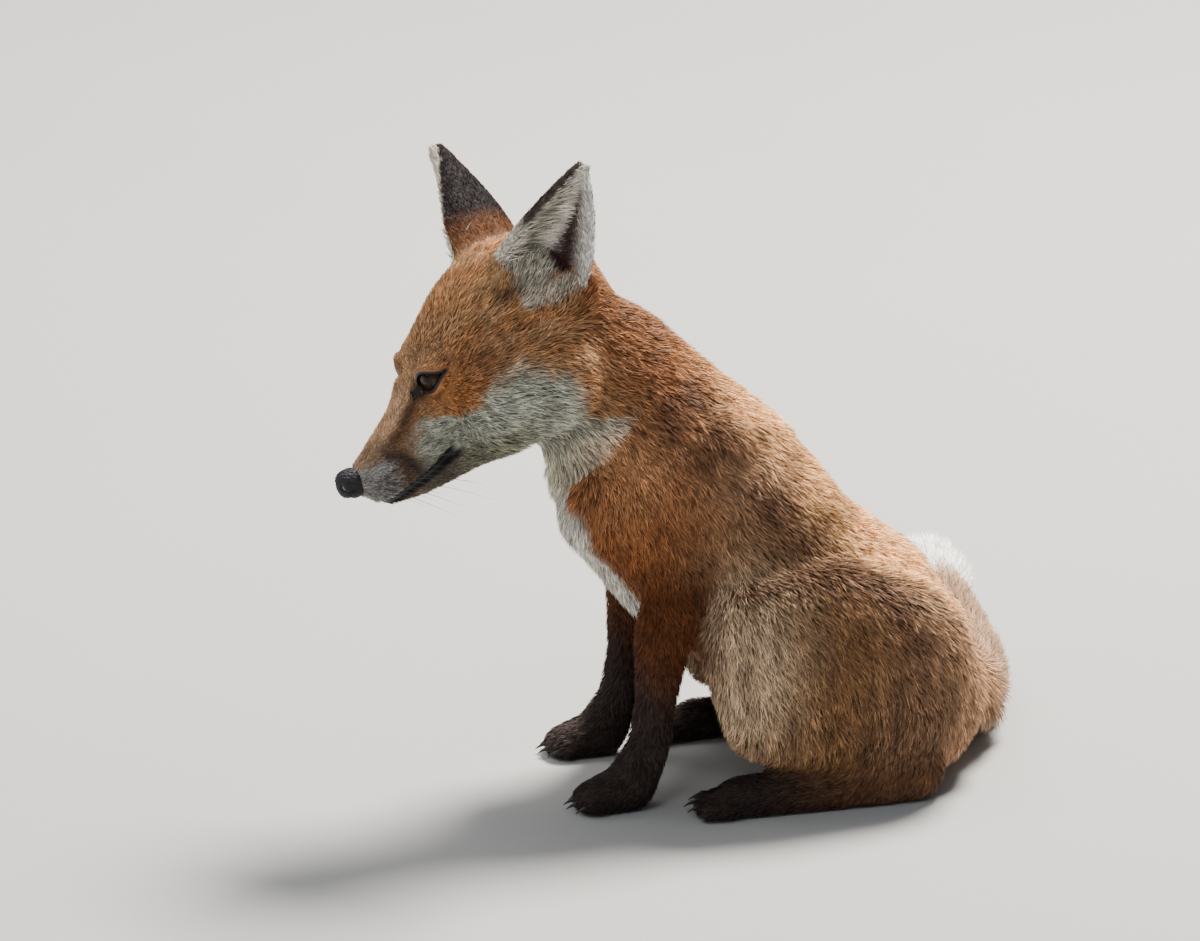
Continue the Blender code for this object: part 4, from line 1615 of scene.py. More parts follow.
class Lie:
    """A field of directions for the coat, from strokes placed on one side and mirrored to the other."""

    BODY = (
        Stroke((-10, 0, 262), (0.8, 0, -0.35)), Stroke((-22, 30, 228), (0.62, 0, -0.78)),
        Stroke((-50, 0, 190), (0.3, 0, -0.95)), Stroke((20, 0, 242), (0.74, 0, -0.67)),
        Stroke((55, 0, 212), (0.68, 0, -0.73)), Stroke((95, 0, 178), (0.65, 0, -0.76)),
        Stroke((130, 0, 142), (0.6, 0, -0.8)), Stroke((165, 0, 98), (0.5, 0, -0.86)),
        Stroke((182, -14, 60), (0.3, 0, -0.95)), Stroke((80, 45, 142), (0.58, 0.06, -0.81)),
        Stroke((60, 40, 110), (0.45, 0, -0.89)), Stroke((48, 46, 178), (0.48, 0.05, -0.87)),
        Stroke((5, 48, 152), (0.22, 0.05, -0.97)), Stroke((30, 50, 130), (0.28, 0, -0.95)),
        Stroke((-36, 0, 160), (0.12, 0, -0.99)), Stroke((-8, 0, 112), (0.3, 0, -0.95)),
        Stroke((40, 0, 60), (0.6, 0, -0.8)), Stroke((36, 52, 118), (0.2, 0, -0.98)),
        Stroke((20, 40, 70), (0.06, 0, -1)), Stroke((14, 40, 32), (-0.1, 0, -1)),
        Stroke((-4, 40, 12), (-0.95, 0, -0.35)), Stroke((60, 66, 95), (0.25, 0.05, -0.97)),
        Stroke((100, 72, 86), (0.42, 0.05, -0.91)), Stroke((140, 62, 90), (0.48, 0, -0.88)),
        Stroke((90, 70, 46), (0.25, 0, -0.97)), Stroke((172, 46, 56), (0.15, 0, -0.99)),
        Stroke((152, 52, 20), (-0.55, 0, -0.83)), Stroke((92, 58, 14), (-1, 0, -0.12)),
        Stroke((50, 58, 8), (-1, 0, -0.2)),
    )
    HEAD = (
        Stroke((112, 0, -33), (-1, 0, 0.35)), Stroke((90, 0, -22), (-0.9, 0, 0.45)),
        Stroke((70, 0, -6), (-0.75, 0.08, 0.65)), Stroke((50, 0, 18), (-0.75, 0.08, 0.62)),
        Stroke((20, 0, 34), (-0.95, 0.08, 0.25)), Stroke((-20, 0, 25), (-0.85, 0, -0.5)),
        Stroke((102, 9, -48), (-0.9, 0.25, -0.18)), Stroke((85, 13, -38), (-0.95, 0.28, -0.02)),
        Stroke((65, 22, -28), (-0.88, 0.3, -0.25)), Stroke((45, 30, -8), (-0.92, 0.2, 0.15)),
        Stroke((58, 18, 0), (-0.6, 0.45, 0.65)), Stroke((40, 36, -35), (-0.88, 0.25, -0.36)),
        Stroke((10, 42, -38), (-0.8, 0.3, -0.5)), Stroke((60, 18, -58), (-0.97, 0.15, -0.1)),
        Stroke((100, 0, -63), (-1, 0, 0)), Stroke((30, 0, -72), (-0.95, 0, -0.2)),
        Stroke((20, 38, 4), (-0.85, 0.25, 0.25)), Stroke((14, 22, 26), (-0.65, 0.3, 0.7)),
        Stroke((-30, 30, 8), (-0.75, 0.1, -0.55)), Stroke((28, 14, 30), (-0.85, 0.1, 0.5)),
        Stroke((6, 27, 13), (-0.55, 0.35, 0.75)), Stroke((4, 34, 4), (-0.5, 0.4, 0.6)),
        Stroke((-12, 38, 4), (-0.35, 0.3, 0.8)),
    )
    TAIL = (
        (172, 2, 36), (189, 26, 26), (196, 66, 21), (196, 112, 22), (194, 158, 23), (197, 200, 22),
        (207, 250, 10),
    )
    REACH = 9
    TAIL_REACH = 12
    BATCH = 20000

    def __init__(self, frames: Frames) -> None:
        """Places the strokes of both sides in the world.

        Args:
            frames: the frames that they are given in.
        """
        places, ways = [], []
        for axes, strokes in ((frames.body, self.BODY), (frames.head, self.HEAD)):
            for stroke in strokes:
                for flip in (1, -1):
                    turn = np.array([1, flip, 1])
                    places.append(axes.world(np.array(stroke.place) * turn))
                    ways.append(axes.turned(unit(np.array(stroke.way) * turn)))
        self.places, self.ways = np.array(places), np.array(ways)
        self.frames = frames

    def _field(self, points: Array, places: Array, ways: Array, soft: float) -> Array:
        """Directions blended from the strokes near each point.

        Args:
            points: where directions are wanted.
            places: where the strokes stand.
            ways: the strokes' directions.
            soft: the distance within which strokes blend, in millimetres.

        Returns:
            A direction for each point.
        """
        result = np.zeros((len(points), 3))
        for start in range(0, len(points), self.BATCH):
            part = points[start:start + self.BATCH]
            gap = ((part[:, None, :] - places[None]) ** 2).sum(axis=2) / MM ** 2
            result[start:start + self.BATCH] = (1 / (gap + soft ** 2) ** 2) @ ways
        return unit(result)

    def ways_at(self, points: Array, normals: Array, labels: Array) -> Array:
        """The hair's direction along the surface.

        Args:
            points: places on the skin.
            normals: the skin's normals there.
            labels: the region of each.

        Returns:
            A direction for each point.
        """
        ways = self._field(points, self.places, self.ways, self.REACH)
        tail = within(labels, Region.TAIL)
        if tail.any():
            path = self.frames.body.world(self.TAIL)
            middles = (path[1:] + path[:-1]) / 2
            ways[tail] = self._field(points[tail], middles, unit(np.diff(path, axis=0)), self.TAIL_REACH)
            body = self.frames.body.local(points[tail])
            blend = ramp(body[:, 1], 4, 34)[:, None]
            rump = self._field(points[tail], self.places, self.ways, self.REACH)
            ways[tail] = unit(ways[tail] * blend + rump * (1 - blend))
        head = self.frames.head.local(points)
        own = normals @ self.frames.head.rows.T
        for ear, number in zip(EARS, EAR_REGIONS):
            on_ear = labels == number
            ways[on_ear] = self._ear_ways(ear, head[on_ear], own[on_ear])
        flat = ways - normals * (ways * normals).sum(axis=1, keepdims=True)
        return unit(flat)

    def _ear_ways(self, ear: EarShape, head: Array, own: Array) -> Array:
        """Up the back of an ear, and inside from its front edge across the hollow.

        Args:
            ear: which ear.
            head: places on it, in the head's frame.
            own: the skin's normals there, in the head's frame.

        Returns:
            A direction in the world for each place.
        """
        front, rear, tip = (np.array(corner, float) for corner in (ear.front, ear.rear, ear.tip))
        rise = unit(tip - (front + rear) / 2)
        across = unit(rear - front)
        inside = ramp(own @ ear.opening(), -0.1, 0.3)[:, None]
        place = ear.place(head)[1]
        sweep = np.where(place < 0.72, 1, -0.35)[:, None]
        hollow = unit(rise * 0.75 + across * 0.85 * sweep)
        return self.frames.head.turned(unit(rise * (1 - inside) + hollow * inside))


# --- The coat

@dataclass
class Coat:
    """All the tufts, as thin tapering blades in pieces by region."""

    skin: Skin
    markings: Markings
    lie: Lie
    most_triangles: int = 190000
    segments: int = 3
    blade: tuple[float, ...] = (0.75, 1.0, 0.72)
    floor: float = 0.0003
    root_depth: float = 0.0004
    quick_share: float = 0.25
    unwrap_reach: float = 0.0015
    maker: np.random.Generator = field(default_factory=lambda: np.random.default_rng(SEED))
    root: Array = field(init=False)
    normal: Array = field(init=False)
    label: Array = field(init=False)
    uv: Array = field(init=False)
    hair: dict[str, Array] = field(init=False)
    kept: Array = field(init=False)
    lines: Array = field(init=False)
    chance: Array = field(init=False)
    tint: Array = field(init=False)

    def _roots(self) -> None:
        """Scatters roots over the skin, by area and density."""
        skin = self.skin
        corners = skin.points[skin.triangles]
        first, second = corners[:, 1] - corners[:, 0], corners[:, 2] - corners[:, 0]
        area = np.linalg.norm(np.cross(first, second), axis=1) / 2
        density = skin.hair["density"][skin.triangles].mean(axis=1) * self._bare(skin.triangles)
        expected = area * 1e4 * density * 1.0
        chosen = self.maker.poisson(expected)
        face = np.repeat(np.arange(len(area)), chosen)
        self.maker.shuffle(face)
        first, second = self.maker.random((2, len(face)))
        root = np.sqrt(first)
        weights = np.column_stack([1.0 - root, root * (1.0 - second), root * second])
        corners = skin.triangles[face]
        self.root = (skin.points[corners] * weights[:, :, None]).sum(axis=1)
        self.normal = unit((skin.normals[corners] * weights[:, :, None]).sum(axis=1))
        self.label = skin.labels[corners[:, 0]]
        self.uv = (skin.unwrap[face] * weights[:, :, None]).sum(axis=1)
        self.hair = {name: (skin.hair[name][corners] * weights).sum(axis=1) for name in PROPERTIES}
        self.kept = np.ones(len(face), bool)
        LOG.info("%d tufts, skin area %.4f m2", len(face), area.sum())

    def _bare(self, triangles: Array) -> Array:
        """Keeps eyes, lips, nose and soles free of hair.

        Args:
            triangles: the skin's triangles.

        Returns:
            A factor for each: 0 where no hair grows.
        """
        skin = self.skin
        middle = skin.points[triangles].mean(axis=1)
        normal = skin.normals[triangles[:, 0]]
        head = skin.frames.head.local(middle)
        keep = np.ones(len(middle))
        for side in Side:
            local = skin.frames.eye(side).local(middle)
            keep *= np.where(np.linalg.norm(local, axis=1) < EYE_RADIUS + 5.0,
                             ramp(EyeOpening.outside(local), 1.0, 2.0), 1.0)
        lips = np.abs(over_mouth(head) - LIP_MIDDLE) < 1.8
        lips &= (head[:, 0] > MOUTH_START) & (head[:, 2] < LIP_TOP)
        keep = np.where(lips, 0.0, keep)
        pad = np.linalg.norm((head - np.array(PAD_BED)) / np.array([7.2, 6.9, 7.3]), axis=1)
        keep = np.where(pad < 1.0, 0.0, keep)
        sole = (normal[:, 2] < -0.8) & (middle[:, 2] < 0.004)
        return np.where(sole, 0.0, keep)

    def _inside_ears(self) -> None:
        """Longer, sparser hair in the hollow of each ear, longest from its front edge."""
        head = self.skin.frames.head.local(self.root)
        own = self.normal @ self.skin.frames.head.rows.T
        for ear, number in zip(EARS, EAR_REGIONS):
            along, across = ear.place(head)
            inside = (self.label == number) & (own @ ear.opening() > 0.15)
            front = ramp(-across, -0.42, -0.10) * ramp(across, -0.06, 0.04) * ramp(-along, -0.92, -0.55)
            self.hair["length"] = np.where(inside, 4.5 + 11.0 * front, self.hair["length"])
            self.hair["height"] = np.where(inside, 0.8 + 2.2 * front, self.hair["height"])
            self.hair["clump"] = np.where(inside, 0.35, self.hair["clump"])
            deep = inside & (np.abs(across - 0.62) < 0.2) & (along < 0.75) & (along > 0.04)
            self.kept &= ~(deep & (self.maker.random(len(head)) < 0.6))

    def _curves(self) -> Array:
        """Bends each tuft along the lie of the coat.

        Returns:
            The points of each tuft's centre line.
        """
        count = len(self.root)
        ways = self.lie.ways_at(self.root, self.normal, self.label)
        across = np.cross(self.normal, ways)
        body = self.skin.frames.body.local(self.root)
        turn = self.maker.normal(0, 0.27, count) + 0.11 * waves(body, 22, 41)
        ways = unit(ways + across * turn[:, None])
        length = self.hair["length"] * self.maker.uniform(0.75, 1.15, count)
        height = self.hair["height"] * self.maker.uniform(0.5, 1.2, count)
        height = np.minimum(height, length * 0.8)
        reach = np.sqrt(length ** 2 - height ** 2)
        tips = self.root + (ways * reach[:, None] + self.normal * height[:, None]) * MM
        tips = self._clumped(tips)
        rise = ((tips - self.root) * self.normal).sum(1, keepdims=True)
        flow = (tips - self.root) - self.normal * rise
        sway = unit(across) * (self.maker.normal(0, 0.045, count) * length * MM)[:, None]
        lines = []
        for step in np.linspace(0, 1, self.segments + 1):
            lift = rise * (1.55 * step - 0.55 * step * step) - self.root_depth * (1 - step)
            lines.append(self.root + flow * step + self.normal * lift + sway * math.sin(math.pi * step))
        return np.stack(lines, axis=1)

    def _clumped(self, tips: Array) -> Array:
        """Draws the tips of neighbouring tufts together.

        Args:
            tips: the tip of each tuft.

        Returns:
            The tips moved.
        """
        count = len(tips)
        spacing = np.maximum(self.hair["length"] * 0.42, 2.2)
        chance = 1 / np.maximum(self.hair["density"] * (spacing / 10) ** 2 * 0.9, 1)
        leaders = np.flatnonzero(self.maker.random(count) < chance)
        tree = KDTree(len(leaders))
        for number, leader in enumerate(leaders):
            tree.insert(self.root[leader], number)
        tree.balance()
        nearest = np.array([tree.find(root)[1] for root in self.root])
        leader = leaders[nearest]
        pull = self.hair["clump"] * self.maker.uniform(0.5, 1.2, count)
        apart = np.linalg.norm(self.root - self.root[leader], axis=1) / MM
        same = (self.normal * self.normal[leader]).sum(1) > 0.5
        pull = np.clip(pull, 0, 0.8) * same * (apart < 2.5 * spacing)
        return tips + (tips[leader] - tips) * pull[:, None]

    def build(self) -> list[bpy.types.Object]:
        """Grows the coat.

        Returns:
            Its pieces, by region.
        """
        self._roots()
        self._inside_ears()
        self.lines = self._curves()
        self.lines[:, :, 2] = np.maximum(self.lines[:, :, 2], self.floor)
        tint = self.markings.tint(self.root, self.normal, self.label)
        self.chance = self.maker.random(len(self.root))
        self.tint = tint * self._speckle()[:, None]
        material = CoatFinish().material()
        pieces = []
        per_tuft = 2 * self.segments - 1
        for number, region in enumerate(REGIONS):
            members = np.flatnonzero((self.label == number) & self.kept)
            members = members[np.argsort(self.root[members, 1], kind="stable")]
            parts = max(1, math.ceil(len(members) * per_tuft / self.most_triangles))
            for part, group in enumerate(np.array_split(members, parts)):
                if not len(group):
                    continue
                name = f"coat_{region.name.lower()}" + (f"_{part + 1}" if parts > 1 else "")
                pieces.append(self._piece(name, group, material))
        LOG.info("coat: %d pieces, %d triangles", len(pieces), self.kept.sum() * per_tuft)
        return pieces

    def _speckle(self) -> Array:
        """How much lighter or darker each tuft is than the marking that it stands in.

        Returns:
            A factor for every tuft.
        """
        strength = np.array([SPECKLE.get(region, PLAIN_SPECKLE) for region in REGIONS])[self.label]
        strength = strength * (1 - 0.6 * ramp(self.skin.frames.head.local(self.root)[:, 0], 60, 85))
        dark = ramp(-self.chance, -0.26, -0.06)
        light = ramp(self.chance, 0.80, 0.97)
        return 1.0 + strength * (0.55 * light - 0.62 * dark)

    def _blades(self, name: str, group: Array) -> tuple[Array, Array]:
        """Widens tufts into flat blades: four-cornered faces and a pointed tip.

        Args:
            name: the piece's name, which picks how the blades roll.
            group: the tufts in it.

        Returns:
            The points of each blade, and the corners of its faces one after another.
        """
        count, rows = len(group), self.segments
        line = self.lines[group]
        ahead = unit(line[:, -1] - line[:, 0])
        across = unit(np.cross(ahead, self.normal[group]))
        roll = np.random.default_rng(SEED + len(name)).normal(0.0, 0.5, count)
        out = np.cross(across, ahead)
        across = across * np.cos(roll)[:, None] + out * np.sin(roll)[:, None]
        half = self.hair["width"][group] * MM / 2
        offsets = across[:, None, :] * (half[:, None] * np.array(self.blade)[None, :])[:, :, None]
        points = np.empty((count, 2 * rows + 1, 3))
        points[:, 0:2 * rows:2] = line[:, :rows] - offsets
        points[:, 1:2 * rows:2] = line[:, :rows] + offsets
        points[:, -1] = line[:, rows]
        base = (np.arange(count) * (2 * rows + 1))[:, None]
        quads = [base + np.array([2 * row, 2 * row + 1, 2 * row + 3, 2 * row + 2]) for row in range(rows - 1)]
        tips = base + np.array([2 * rows - 2, 2 * rows - 1, 2 * rows])
        return points, np.concatenate([*quads, tips], axis=1).astype(np.int32)

    def _piece(self, name: str, group: Array, material: bpy.types.Material) -> bpy.types.Object:
        """Makes one mesh of blades.

        Args:
            name: the piece's name.
            group: the tufts in it.
            material: the coat's material.

        Returns:
            The piece.
        """
        points, loops = self._blades(name, group)
        count, width, _ = points.shape
        rows = self.segments
        starts = np.arange(count)[:, None] * loops.shape[1] + np.arange(rows) * 4
        mesh = bpy.data.meshes.new(name)
        mesh.vertices.add(count * width)
        mesh.vertices.foreach_set("co", points.astype(np.float32).ravel())
        mesh.loops.add(loops.size)
        mesh.loops.foreach_set("vertex_index", loops.ravel())
        mesh.polygons.add(count * rows)
        mesh.polygons.foreach_set("loop_start", starts.astype(np.int32).ravel())
        mesh.materials.append(material)
        mesh.update(calc_edges=True)
        mesh.shade_smooth()
        strand = np.repeat(np.linspace(0.0, 1.0, rows + 1), 2)[:width]
        store(mesh, "strand", np.tile(strand, count))
        store(mesh, "chance", np.repeat(self.chance[group], width))
        store(mesh, "tint", np.repeat(self.tint[group], width, axis=0))
        over, along = np.tile([-1.0, 1.0], rows + 1), np.linspace(-1.0, 1.0, rows + 1).repeat(2)
        patch = np.stack([over[:width], along[:width]], 1)
        corners = self.uv[group][:, None, :] + patch[None] * self.unwrap_reach
        corners = np.clip(corners, 0.0, 1.0).reshape(-1, 2)
        layer = mesh.uv_layers.new(name="OFBake")
        layer.data.foreach_set("uv", corners[loops.ravel()].astype(np.float32).ravel())
        return linked(name, mesh)


# --- Eyes, nose, claws and whiskers

@dataclass
class Eye:
    """An eyeball and the bare dark rim of its lids."""

    frames: Frames
    side: Side
    rings: int = 56
    sectors: int = 72
    inset: float = 0.25
    cornea_rise: float = 0.6
    cornea_reach: float = 0.55
    pupil_width: float = 1.5
    pupil_height: float = 3.3
    rim_lift: float = 0.45
    rim_corners: int = 96
    rim_sides: int = 10

    def ball(self) -> bpy.types.Object:
        """The eyeball, with the cornea swelling from it.

        Returns:
            The eyeball, with its distances from gaze and pupil stored for its finish.
        """
        axes = self.frames.eye(self.side)
        points = []
        for ring in range(self.rings + 1):
            tilt = math.pi * ring / self.rings
            swell = 0.75 * math.exp(-(tilt / self.cornea_reach) ** 4)
            radius = EYE_RADIUS - self.inset + swell * self.cornea_rise
            wide, deep = radius * math.sin(tilt), radius * math.cos(tilt)
            for sector in range(self.sectors):
                turn = 2.0 * math.pi * sector / self.sectors
                points.append((wide * math.cos(turn), wide * math.sin(turn), deep))
        faces = tube_faces(self.rings + 1, self.sectors)
        made = surface(f"eyeball_{self.side.word}", axes.world(points), faces, EyeFinish().material())
        tidy(made)
        local = axes.local(coordinates(made.data))
        front = local[:, 2] > 0.0
        gaze = np.hypot(local[:, 0], local[:, 1])
        pupil = np.hypot(local[:, 0] / self.pupil_width, local[:, 1] / self.pupil_height)
        store(made.data, "from_gaze", np.where(front, gaze, BEHIND_EYE))
        store(made.data, "from_pupil", np.where(front, pupil, BEHIND_EYE))
        return made

    def rim(self) -> bpy.types.Object:
        """The black edge of the lids, heavier above.

        Returns:
            A closed strip along the opening.
        """
        axes = self.frames.eye(self.side)
        radius = EYE_RADIUS + self.rim_lift
        flat = EyeOpening.loop(self.rim_corners) * 1.02
        depth = np.sqrt(np.maximum(radius ** 2 - (flat ** 2).sum(1), 4.0))
        local = np.column_stack([flat, depth])
        heavy = np.where(np.arange(len(flat)) < len(flat) / 2, 1.0, 0.0)
        for _ in range(10):
            heavy = (np.roll(heavy, 1) + np.roll(heavy, -1) + heavy) / 3.0
        widths = (0.17 + 0.13 * heavy) * MM
        heights = (0.22 + 0.18 * heavy) * MM
        finish = HornFinish("lid_rim", (0.004, 0.003, 0.004), 0.75, shine=0.03)
        strip = swept(axes.world(local), axes.turned(unit(local)), widths, heights, self.rim_sides)
        faces = tube_faces(len(flat), self.rim_sides, closed=True)
        return surface(f"lid_rim_{self.side.word}", strip, faces, finish.material())


def tidy(obj: bpy.types.Object) -> None:
    """Merges points that coincide and turns the faces out.

    Args:
        obj: a mesh object, changed in place.
    """
    builder = bmesh.new()
    builder.from_mesh(obj.data)
    bmesh.ops.remove_doubles(builder, verts=builder.verts, dist=1e-6)
    bmesh.ops.dissolve_degenerate(builder, edges=builder.edges, dist=1e-7)
    bmesh.ops.recalc_face_normals(builder, faces=builder.faces)
    builder.to_mesh(obj.data)
    builder.free()


@dataclass
class Nose:
    """The nose pad with its nostrils, side slits and middle groove."""

    frames: Frames
    centre: Place = (115.1, 0.0, -45.9)
    radii: Place = (6.9, 7.0, 7.5)
    squareness: float = 0.86
    nostril_depth: float = 2.4
    slit_depth: float = 0.9
    groove_depth: float = 0.55
    lower_depth: float = 1.2
    wing_height: float = 0.55
    ripple_height: float = 0.10

    def build(self) -> bpy.types.Object:
        """Makes the pad from a fine ball, pressed in where it is hollow.

        Returns:
            The pad.
        """
        builder = bmesh.new()
        bmesh.ops.create_icosphere(builder, subdivisions=6, radius=1.0)
        mesh = bpy.data.meshes.new("nose")
        builder.to_mesh(mesh)
        builder.free()
        way = coordinates(mesh)
        local = np.sign(way) * np.abs(way) ** self.squareness * np.array(self.radii)
        local -= way * self._depth(way)[:, None]
        ripple = self.ripple_height * waves(local, 1.6, 51)
        local += way * ripple[:, None]
        points = self.frames.head.world(local + np.array(self.centre))
        mesh.vertices.foreach_set("co", points.astype(np.float32).ravel())
        mesh.materials.append(NoseFinish().material())
        mesh.update()
        mesh.shade_smooth()
        made = linked("nose_pad", mesh)
        tidy(made)
        return made

    def _depth(self, way: Array) -> Array:
        """How deep the pad is pressed in.

        Args:
            way: directions from its centre.

        Returns:
            A depth in millimetres for each.
        """
        side = np.column_stack([way[:, 0], np.abs(way[:, 1]), way[:, 2]])
        nostril = blob(side, (0.83, 0.50, 0.10), (0.22, 0.17, 0.21))
        path = [(0.80, 0.55, 0.02), (0.45, 0.86, -0.22), (0.05, 0.97, -0.20)]
        slit = np.exp(-(line_distance(side, path) / 0.085) ** 2)
        groove = np.exp(-(side[:, 1] / 0.05) ** 2) * ramp(way[:, 0], 0.5, 0.8) * ramp(-way[:, 2], -0.30, 0.05)
        lower = ramp(-way[:, 2], 0.45, 0.9) * ramp(way[:, 0], -0.2, 0.6)
        wing = blob(side, (0.62, 0.80, 0.12), (0.28, 0.22, 0.25))
        depth = self.nostril_depth * nostril + self.slit_depth * slit + self.groove_depth * groove
        return depth + self.lower_depth * lower - self.wing_height * wing


@dataclass
class Claws:
    """The claws of one foot, as curved cones from its toes; lengths in metres."""

    node: str
    count: int = 4
    sides: int = 8
    rows: int = 7
    root_height: float = 0.0052
    root_radius: float = 0.00125
    tip_radius: float = 0.00012
    reach: float = 0.0078
    drop: float = 0.0030
    spread: float = 0.66

    def build(self, material: bpy.types.Material) -> bpy.types.Object:
        """Makes the claws from where the toes of the foot's node end.

        Args:
            material: the claws' material.

        Returns:
            One mesh for the foot.
        """
        low, high = (np.array(corner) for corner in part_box(self.node))
        middle, half = (low[1] + high[1]) / 2, (high[1] - low[1]) / 2
        points, faces = [], []
        for number in range(self.count):
            place = (number - (self.count - 1) / 2) / ((self.count - 1) / 2)
            inset = 0.0006 + 0.0042 * place * place
            base = number * self.rows * self.sides
            start = np.array([low[0] + inset + 0.0022, middle + place * half * self.spread, self.root_height])
            points.append(self._claw(start, place))
            faces.extend(tube_faces(self.rows, self.sides, base))
            faces.append(tuple(base + (self.rows - 1) * self.sides + corner for corner in range(self.sides)))
        made = surface(f"claws_{self.node}", np.concatenate(points), faces, material)
        tidy(made)
        return made

    def _claw(self, start: Array, place: float) -> Array:
        """Rings of points from a claw's root to its tip.

        Args:
            start: the middle of its root.
            place: where its toe stands on the foot, from -1 to 1.

        Returns:
            The points.
        """
        rows = []
        for row in range(self.rows):
            share = row / (self.rows - 1)
            bend = [-self.reach * share, 0.0006 * place * share, -self.drop * share * share]
            centre = start + np.array(bend)
            radius = self.root_radius * (1.0 - share) ** 0.75 + self.tip_radius
            for corner in range(self.sides):
                turn = 2.0 * math.pi * corner / self.sides
                rows.append(centre + np.array([0.0, math.cos(turn) * 0.8, math.sin(turn) * 1.15]) * radius)
        return np.array(rows)


@dataclass
class Whiskers:
    """The whiskers of one side, as fine tapering bristles."""

    frames: Frames
    side: Side
    sides: int = 5
    rows: int = 9
    columns: int = 4
    spacing: float = 4.4
    bed_width: float = 14.0
    shortest: float = 24.0
    root_radius: float = 0.00017
    tip_radius: float = 0.00003
    maker: np.random.Generator = field(default_factory=lambda: np.random.default_rng(SEED + 77))

    def build(self, tree: BVHTree, material: bpy.types.Material) -> bpy.types.Object:
        """Makes the whiskers from their bed on the muzzle.

        Args:
            tree: the skin, that each root is set on.
            material: the bristles' material.

        Returns:
            One mesh for the side.
        """
        points, faces = [], []
        head = self.frames.head
        flip = np.array([1.0, self.side.value, 1.0])
        for row in range(WHISKER_ROWS):
            for place in range(self.columns):
                ahead = self.columns - 1 - place
                bed_x, bed_z = whisker_bed(row, place, self.spacing)
                bed = np.array([bed_x, self.bed_width, bed_z]) * flip
                root = tree.find_nearest(Vector(head.world(bed)))[0]
                way = np.array([-0.62 - 0.10 * ahead, 0.72, 0.12 - 0.20 * row]) * flip
                way = head.turned(unit(way + self.maker.normal(0.0, 0.07, 3)))
                length = (self.shortest + 5.0 * ahead) * self.maker.uniform(0.8, 1.1) * MM
                faces.extend(tube_faces(self.rows, self.sides, len(points)))
                points.extend(self._bristle(np.array(root), way, length))
        return surface(f"whiskers_{self.side.word}", points, faces, material)

    def _bristle(self, root: Array, way: Array, length: float) -> list[Array]:
        """One bristle that droops and sweeps back.

        Args:
            root: where it stands.
            way: the direction it starts in.
            length: its length, in metres.

        Returns:
            Its points, ring by ring.
        """
        across = unit(np.cross(way, (0.0, 0.0, 1.0)))
        out = np.cross(across, way)
        points = []
        for row in range(self.rows):
            share = row / (self.rows - 1)
            bend = np.array([0.10, 0.0, -0.16]) * length * share * share
            centre = root + way * length * (share - 0.03) + bend
            radius = self.root_radius * (1.0 - share) + self.tip_radius
            for corner in range(self.sides):
                turn = 2.0 * math.pi * corner / self.sides
                points.append(centre + (across * math.cos(turn) + out * math.sin(turn)) * radius)
        return points


# --- Studio

@dataclass(frozen=True)
class Lamp:
    """A soft area light that looks at the fox."""

    name: str
    place: Place
    size: float
    power: float
    colour: Colour = (1.0, 1.0, 1.0)

    def add(self, aim: Vector) -> None:
        """Puts the light in the scene.

        Args:
            aim: what it looks at.
        """
        light = bpy.data.lights.new(self.name, "AREA")
        light.shape = "DISK"
        light.size = self.size
        light.energy = self.power
        light.color = self.colour
        made = linked(self.name, light)
        made.location = self.place
        made.rotation_euler = (aim - Vector(self.place)).to_track_quat("-Z", "Y").to_euler()


@dataclass(frozen=True)
class Studio:
    """Floor, lights, sky and camera."""

    azimuth: float = math.radians(-10.0)
    height: float = math.radians(18.0)
    distance: float = 4.5
    lens: float = 275.0
    sensor: float = 36.0
    raise_aim: float = 152.1
    sky: Colour = (0.86, 0.92, 1.0)
    sky_strength: float = 0.30
    floor_reach: float = 9.0
    lamps: tuple[Lamp, ...] = (
        Lamp("key", (1.1, 1.0, 2.6), 1.0, 370.0, (1.0, 0.94, 0.86)),
        Lamp("fill", (-1.2, -2.0, 3.0), 1.2, 24.0, (0.94, 0.97, 1.0)),
        Lamp("top", (-0.9, 0.5, 2.6), 1.4, 30.0, (1.0, 0.97, 0.92)),
        Lamp("front", (-2.6, -1.1, 1.1), 1.3, 13.0, (0.95, 0.96, 0.96)),
    )

    def build(self, frames: Frames) -> None:
        """Sets the scene round the fox.

        Args:
            frames: the fox's frames.
        """
        east, north = math.cos(self.azimuth), math.sin(self.azimuth)
        level = math.cos(self.height)
        back = Vector((north * level, -east * level, math.sin(self.height)))
        across = Vector((east, north, 0.0))
        aim = Vector(frames.body.origin) + back.cross(across) * self.raise_aim * MM
        data = bpy.data.cameras.new("camera")
        data.lens = self.lens
        data.sensor_width = self.sensor
        camera = linked("camera", data)
        camera.location = aim + back * self.distance
        camera.rotation_euler = (-back).to_track_quat("-Z", "Y").to_euler()
        bpy.context.scene.camera = camera
        for lamp in self.lamps:
            lamp.add(aim)
        world = bpy.data.worlds.new("studio")
        world.use_nodes = True
        background = world.node_tree.nodes["Background"]
        background.inputs["Color"].default_value = (*self.sky, 1.0)
        background.inputs["Strength"].default_value = self.sky_strength
        bpy.context.scene.world = world
        reach = self.floor_reach
        corners = [(-reach, -reach, 0.0), (reach, -reach, 0.0), (reach, reach, 0.0), (-reach, reach, 0.0)]
        surface("floor", corners, [(0, 1, 2, 3)], FloorFinish().material(), smooth=False)


# --- The whole

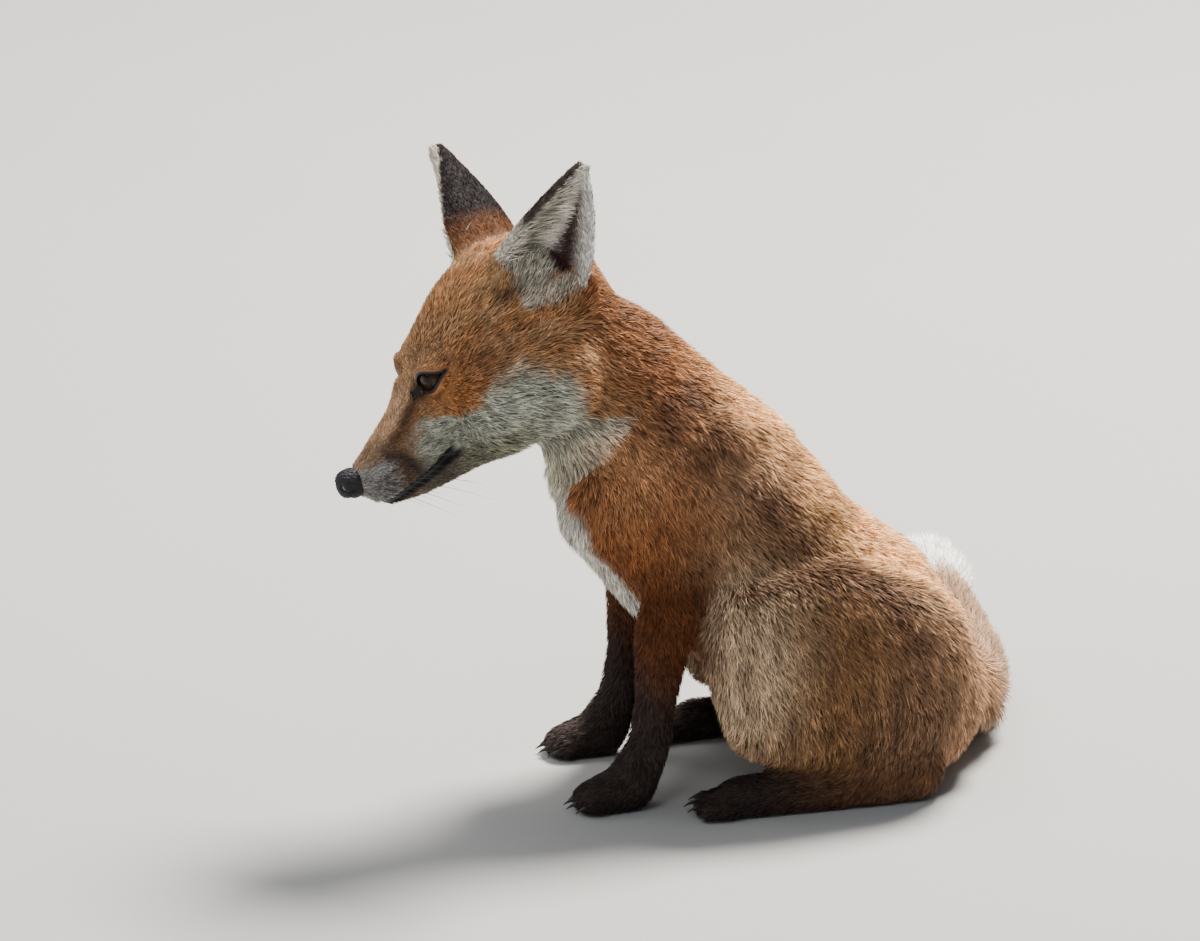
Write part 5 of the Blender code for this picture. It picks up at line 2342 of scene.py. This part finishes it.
@dataclass
class Fox:
    """Every piece of the fox, in the order of building."""

    frames: Frames = field(default_factory=Frames)
    claw_colour: Colour = (0.035, 0.026, 0.02)
    whisker_colour: Colour = (0.02, 0.017, 0.016)

    def keep(self, piece: bpy.types.Object, slot: str, *nodes: str) -> None:
        """Fixes a piece to the body and reports it.

        Args:
            piece: the piece.
            slot: not used.
            nodes: the nodes that it replaces.
        """
        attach(piece, BODY)
        if nodes:
            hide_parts(*nodes)
        LOG.info("%s: %d faces", piece.name, len(piece.data.polygons))

    def build(self) -> None:
        """Makes the skin, the coat and all that stands in them."""
        skin = Skin(self.frames)
        obj = skin.build()
        markings = Markings(self.frames)
        store(obj.data, "tint", markings.tint(skin.points, skin.normals, skin.labels))
        store(obj.data, "bare", self._bare(skin))
        obj.data.materials.clear()
        obj.data.materials.append(SkinFinish().material())
        flesh = [node for node in skin.nodes if not node.startswith("eye") and node != "nose"]
        self.keep(obj, "rust_coat", *flesh)
        for piece in Coat(skin, markings, Lie(self.frames)).build():
            self.keep(piece, "rust_coat")
        for side in Side:
            eye = Eye(self.frames, side)
            self.keep(eye.ball(), "eye_glass", f"eye_{side.word}")
            self.keep(eye.rim(), "nose_skin")
        self.keep(Nose(self.frames).build(), "nose_skin", "nose")
        horn = HornFinish("claw_horn", self.claw_colour, 0.35).material()
        for node in (*Region.FOREPAWS.value, *Region.HINDFEET.value):
            self.keep(Claws(node).build(horn), "claw_horn")
        bristle = HornFinish("whisker", self.whisker_colour, 0.45).material()
        tree = BVHTree.FromPolygons([Vector(point) for point in skin.points], skin.triangles.tolist())
        for side in Side:
            self.keep(Whiskers(self.frames, side).build(tree, bristle), "claw_horn")

    def _bare(self, skin: Skin) -> Array:
        """Finds the lips and the lids' edges, where no hair grows.

        Args:
            skin: the skin.

        Returns:
            A number for each of its points: 1 where it is bare.
        """
        head = self.frames.head.local(skin.points)
        height = np.abs(over_mouth(head) - LIP_MIDDLE)
        lips = ramp(-height, -2.4, -1.4) * (head[:, 0] > MOUTH_START) * (head[:, 2] < LIP_TOP)
        lids = np.zeros(len(head))
        for side in Side:
            local = self.frames.eye(side).local(skin.points)
            near = np.linalg.norm(local, axis=1) < EYE_RADIUS + 5.0
            lids = np.maximum(lids, near * ramp(-EyeOpening.outside(local), -2.0, -1.0))
        return np.maximum(lips, lids)


def main() -> None:
    """Builds the fox and its studio, and notes the sizes."""
    logging.basicConfig(level=logging.INFO, format="%(message)s")
    fox = Fox()
    Studio().build(fox.frames)
    fox.build()


if __name__ == "__main__":
    main()
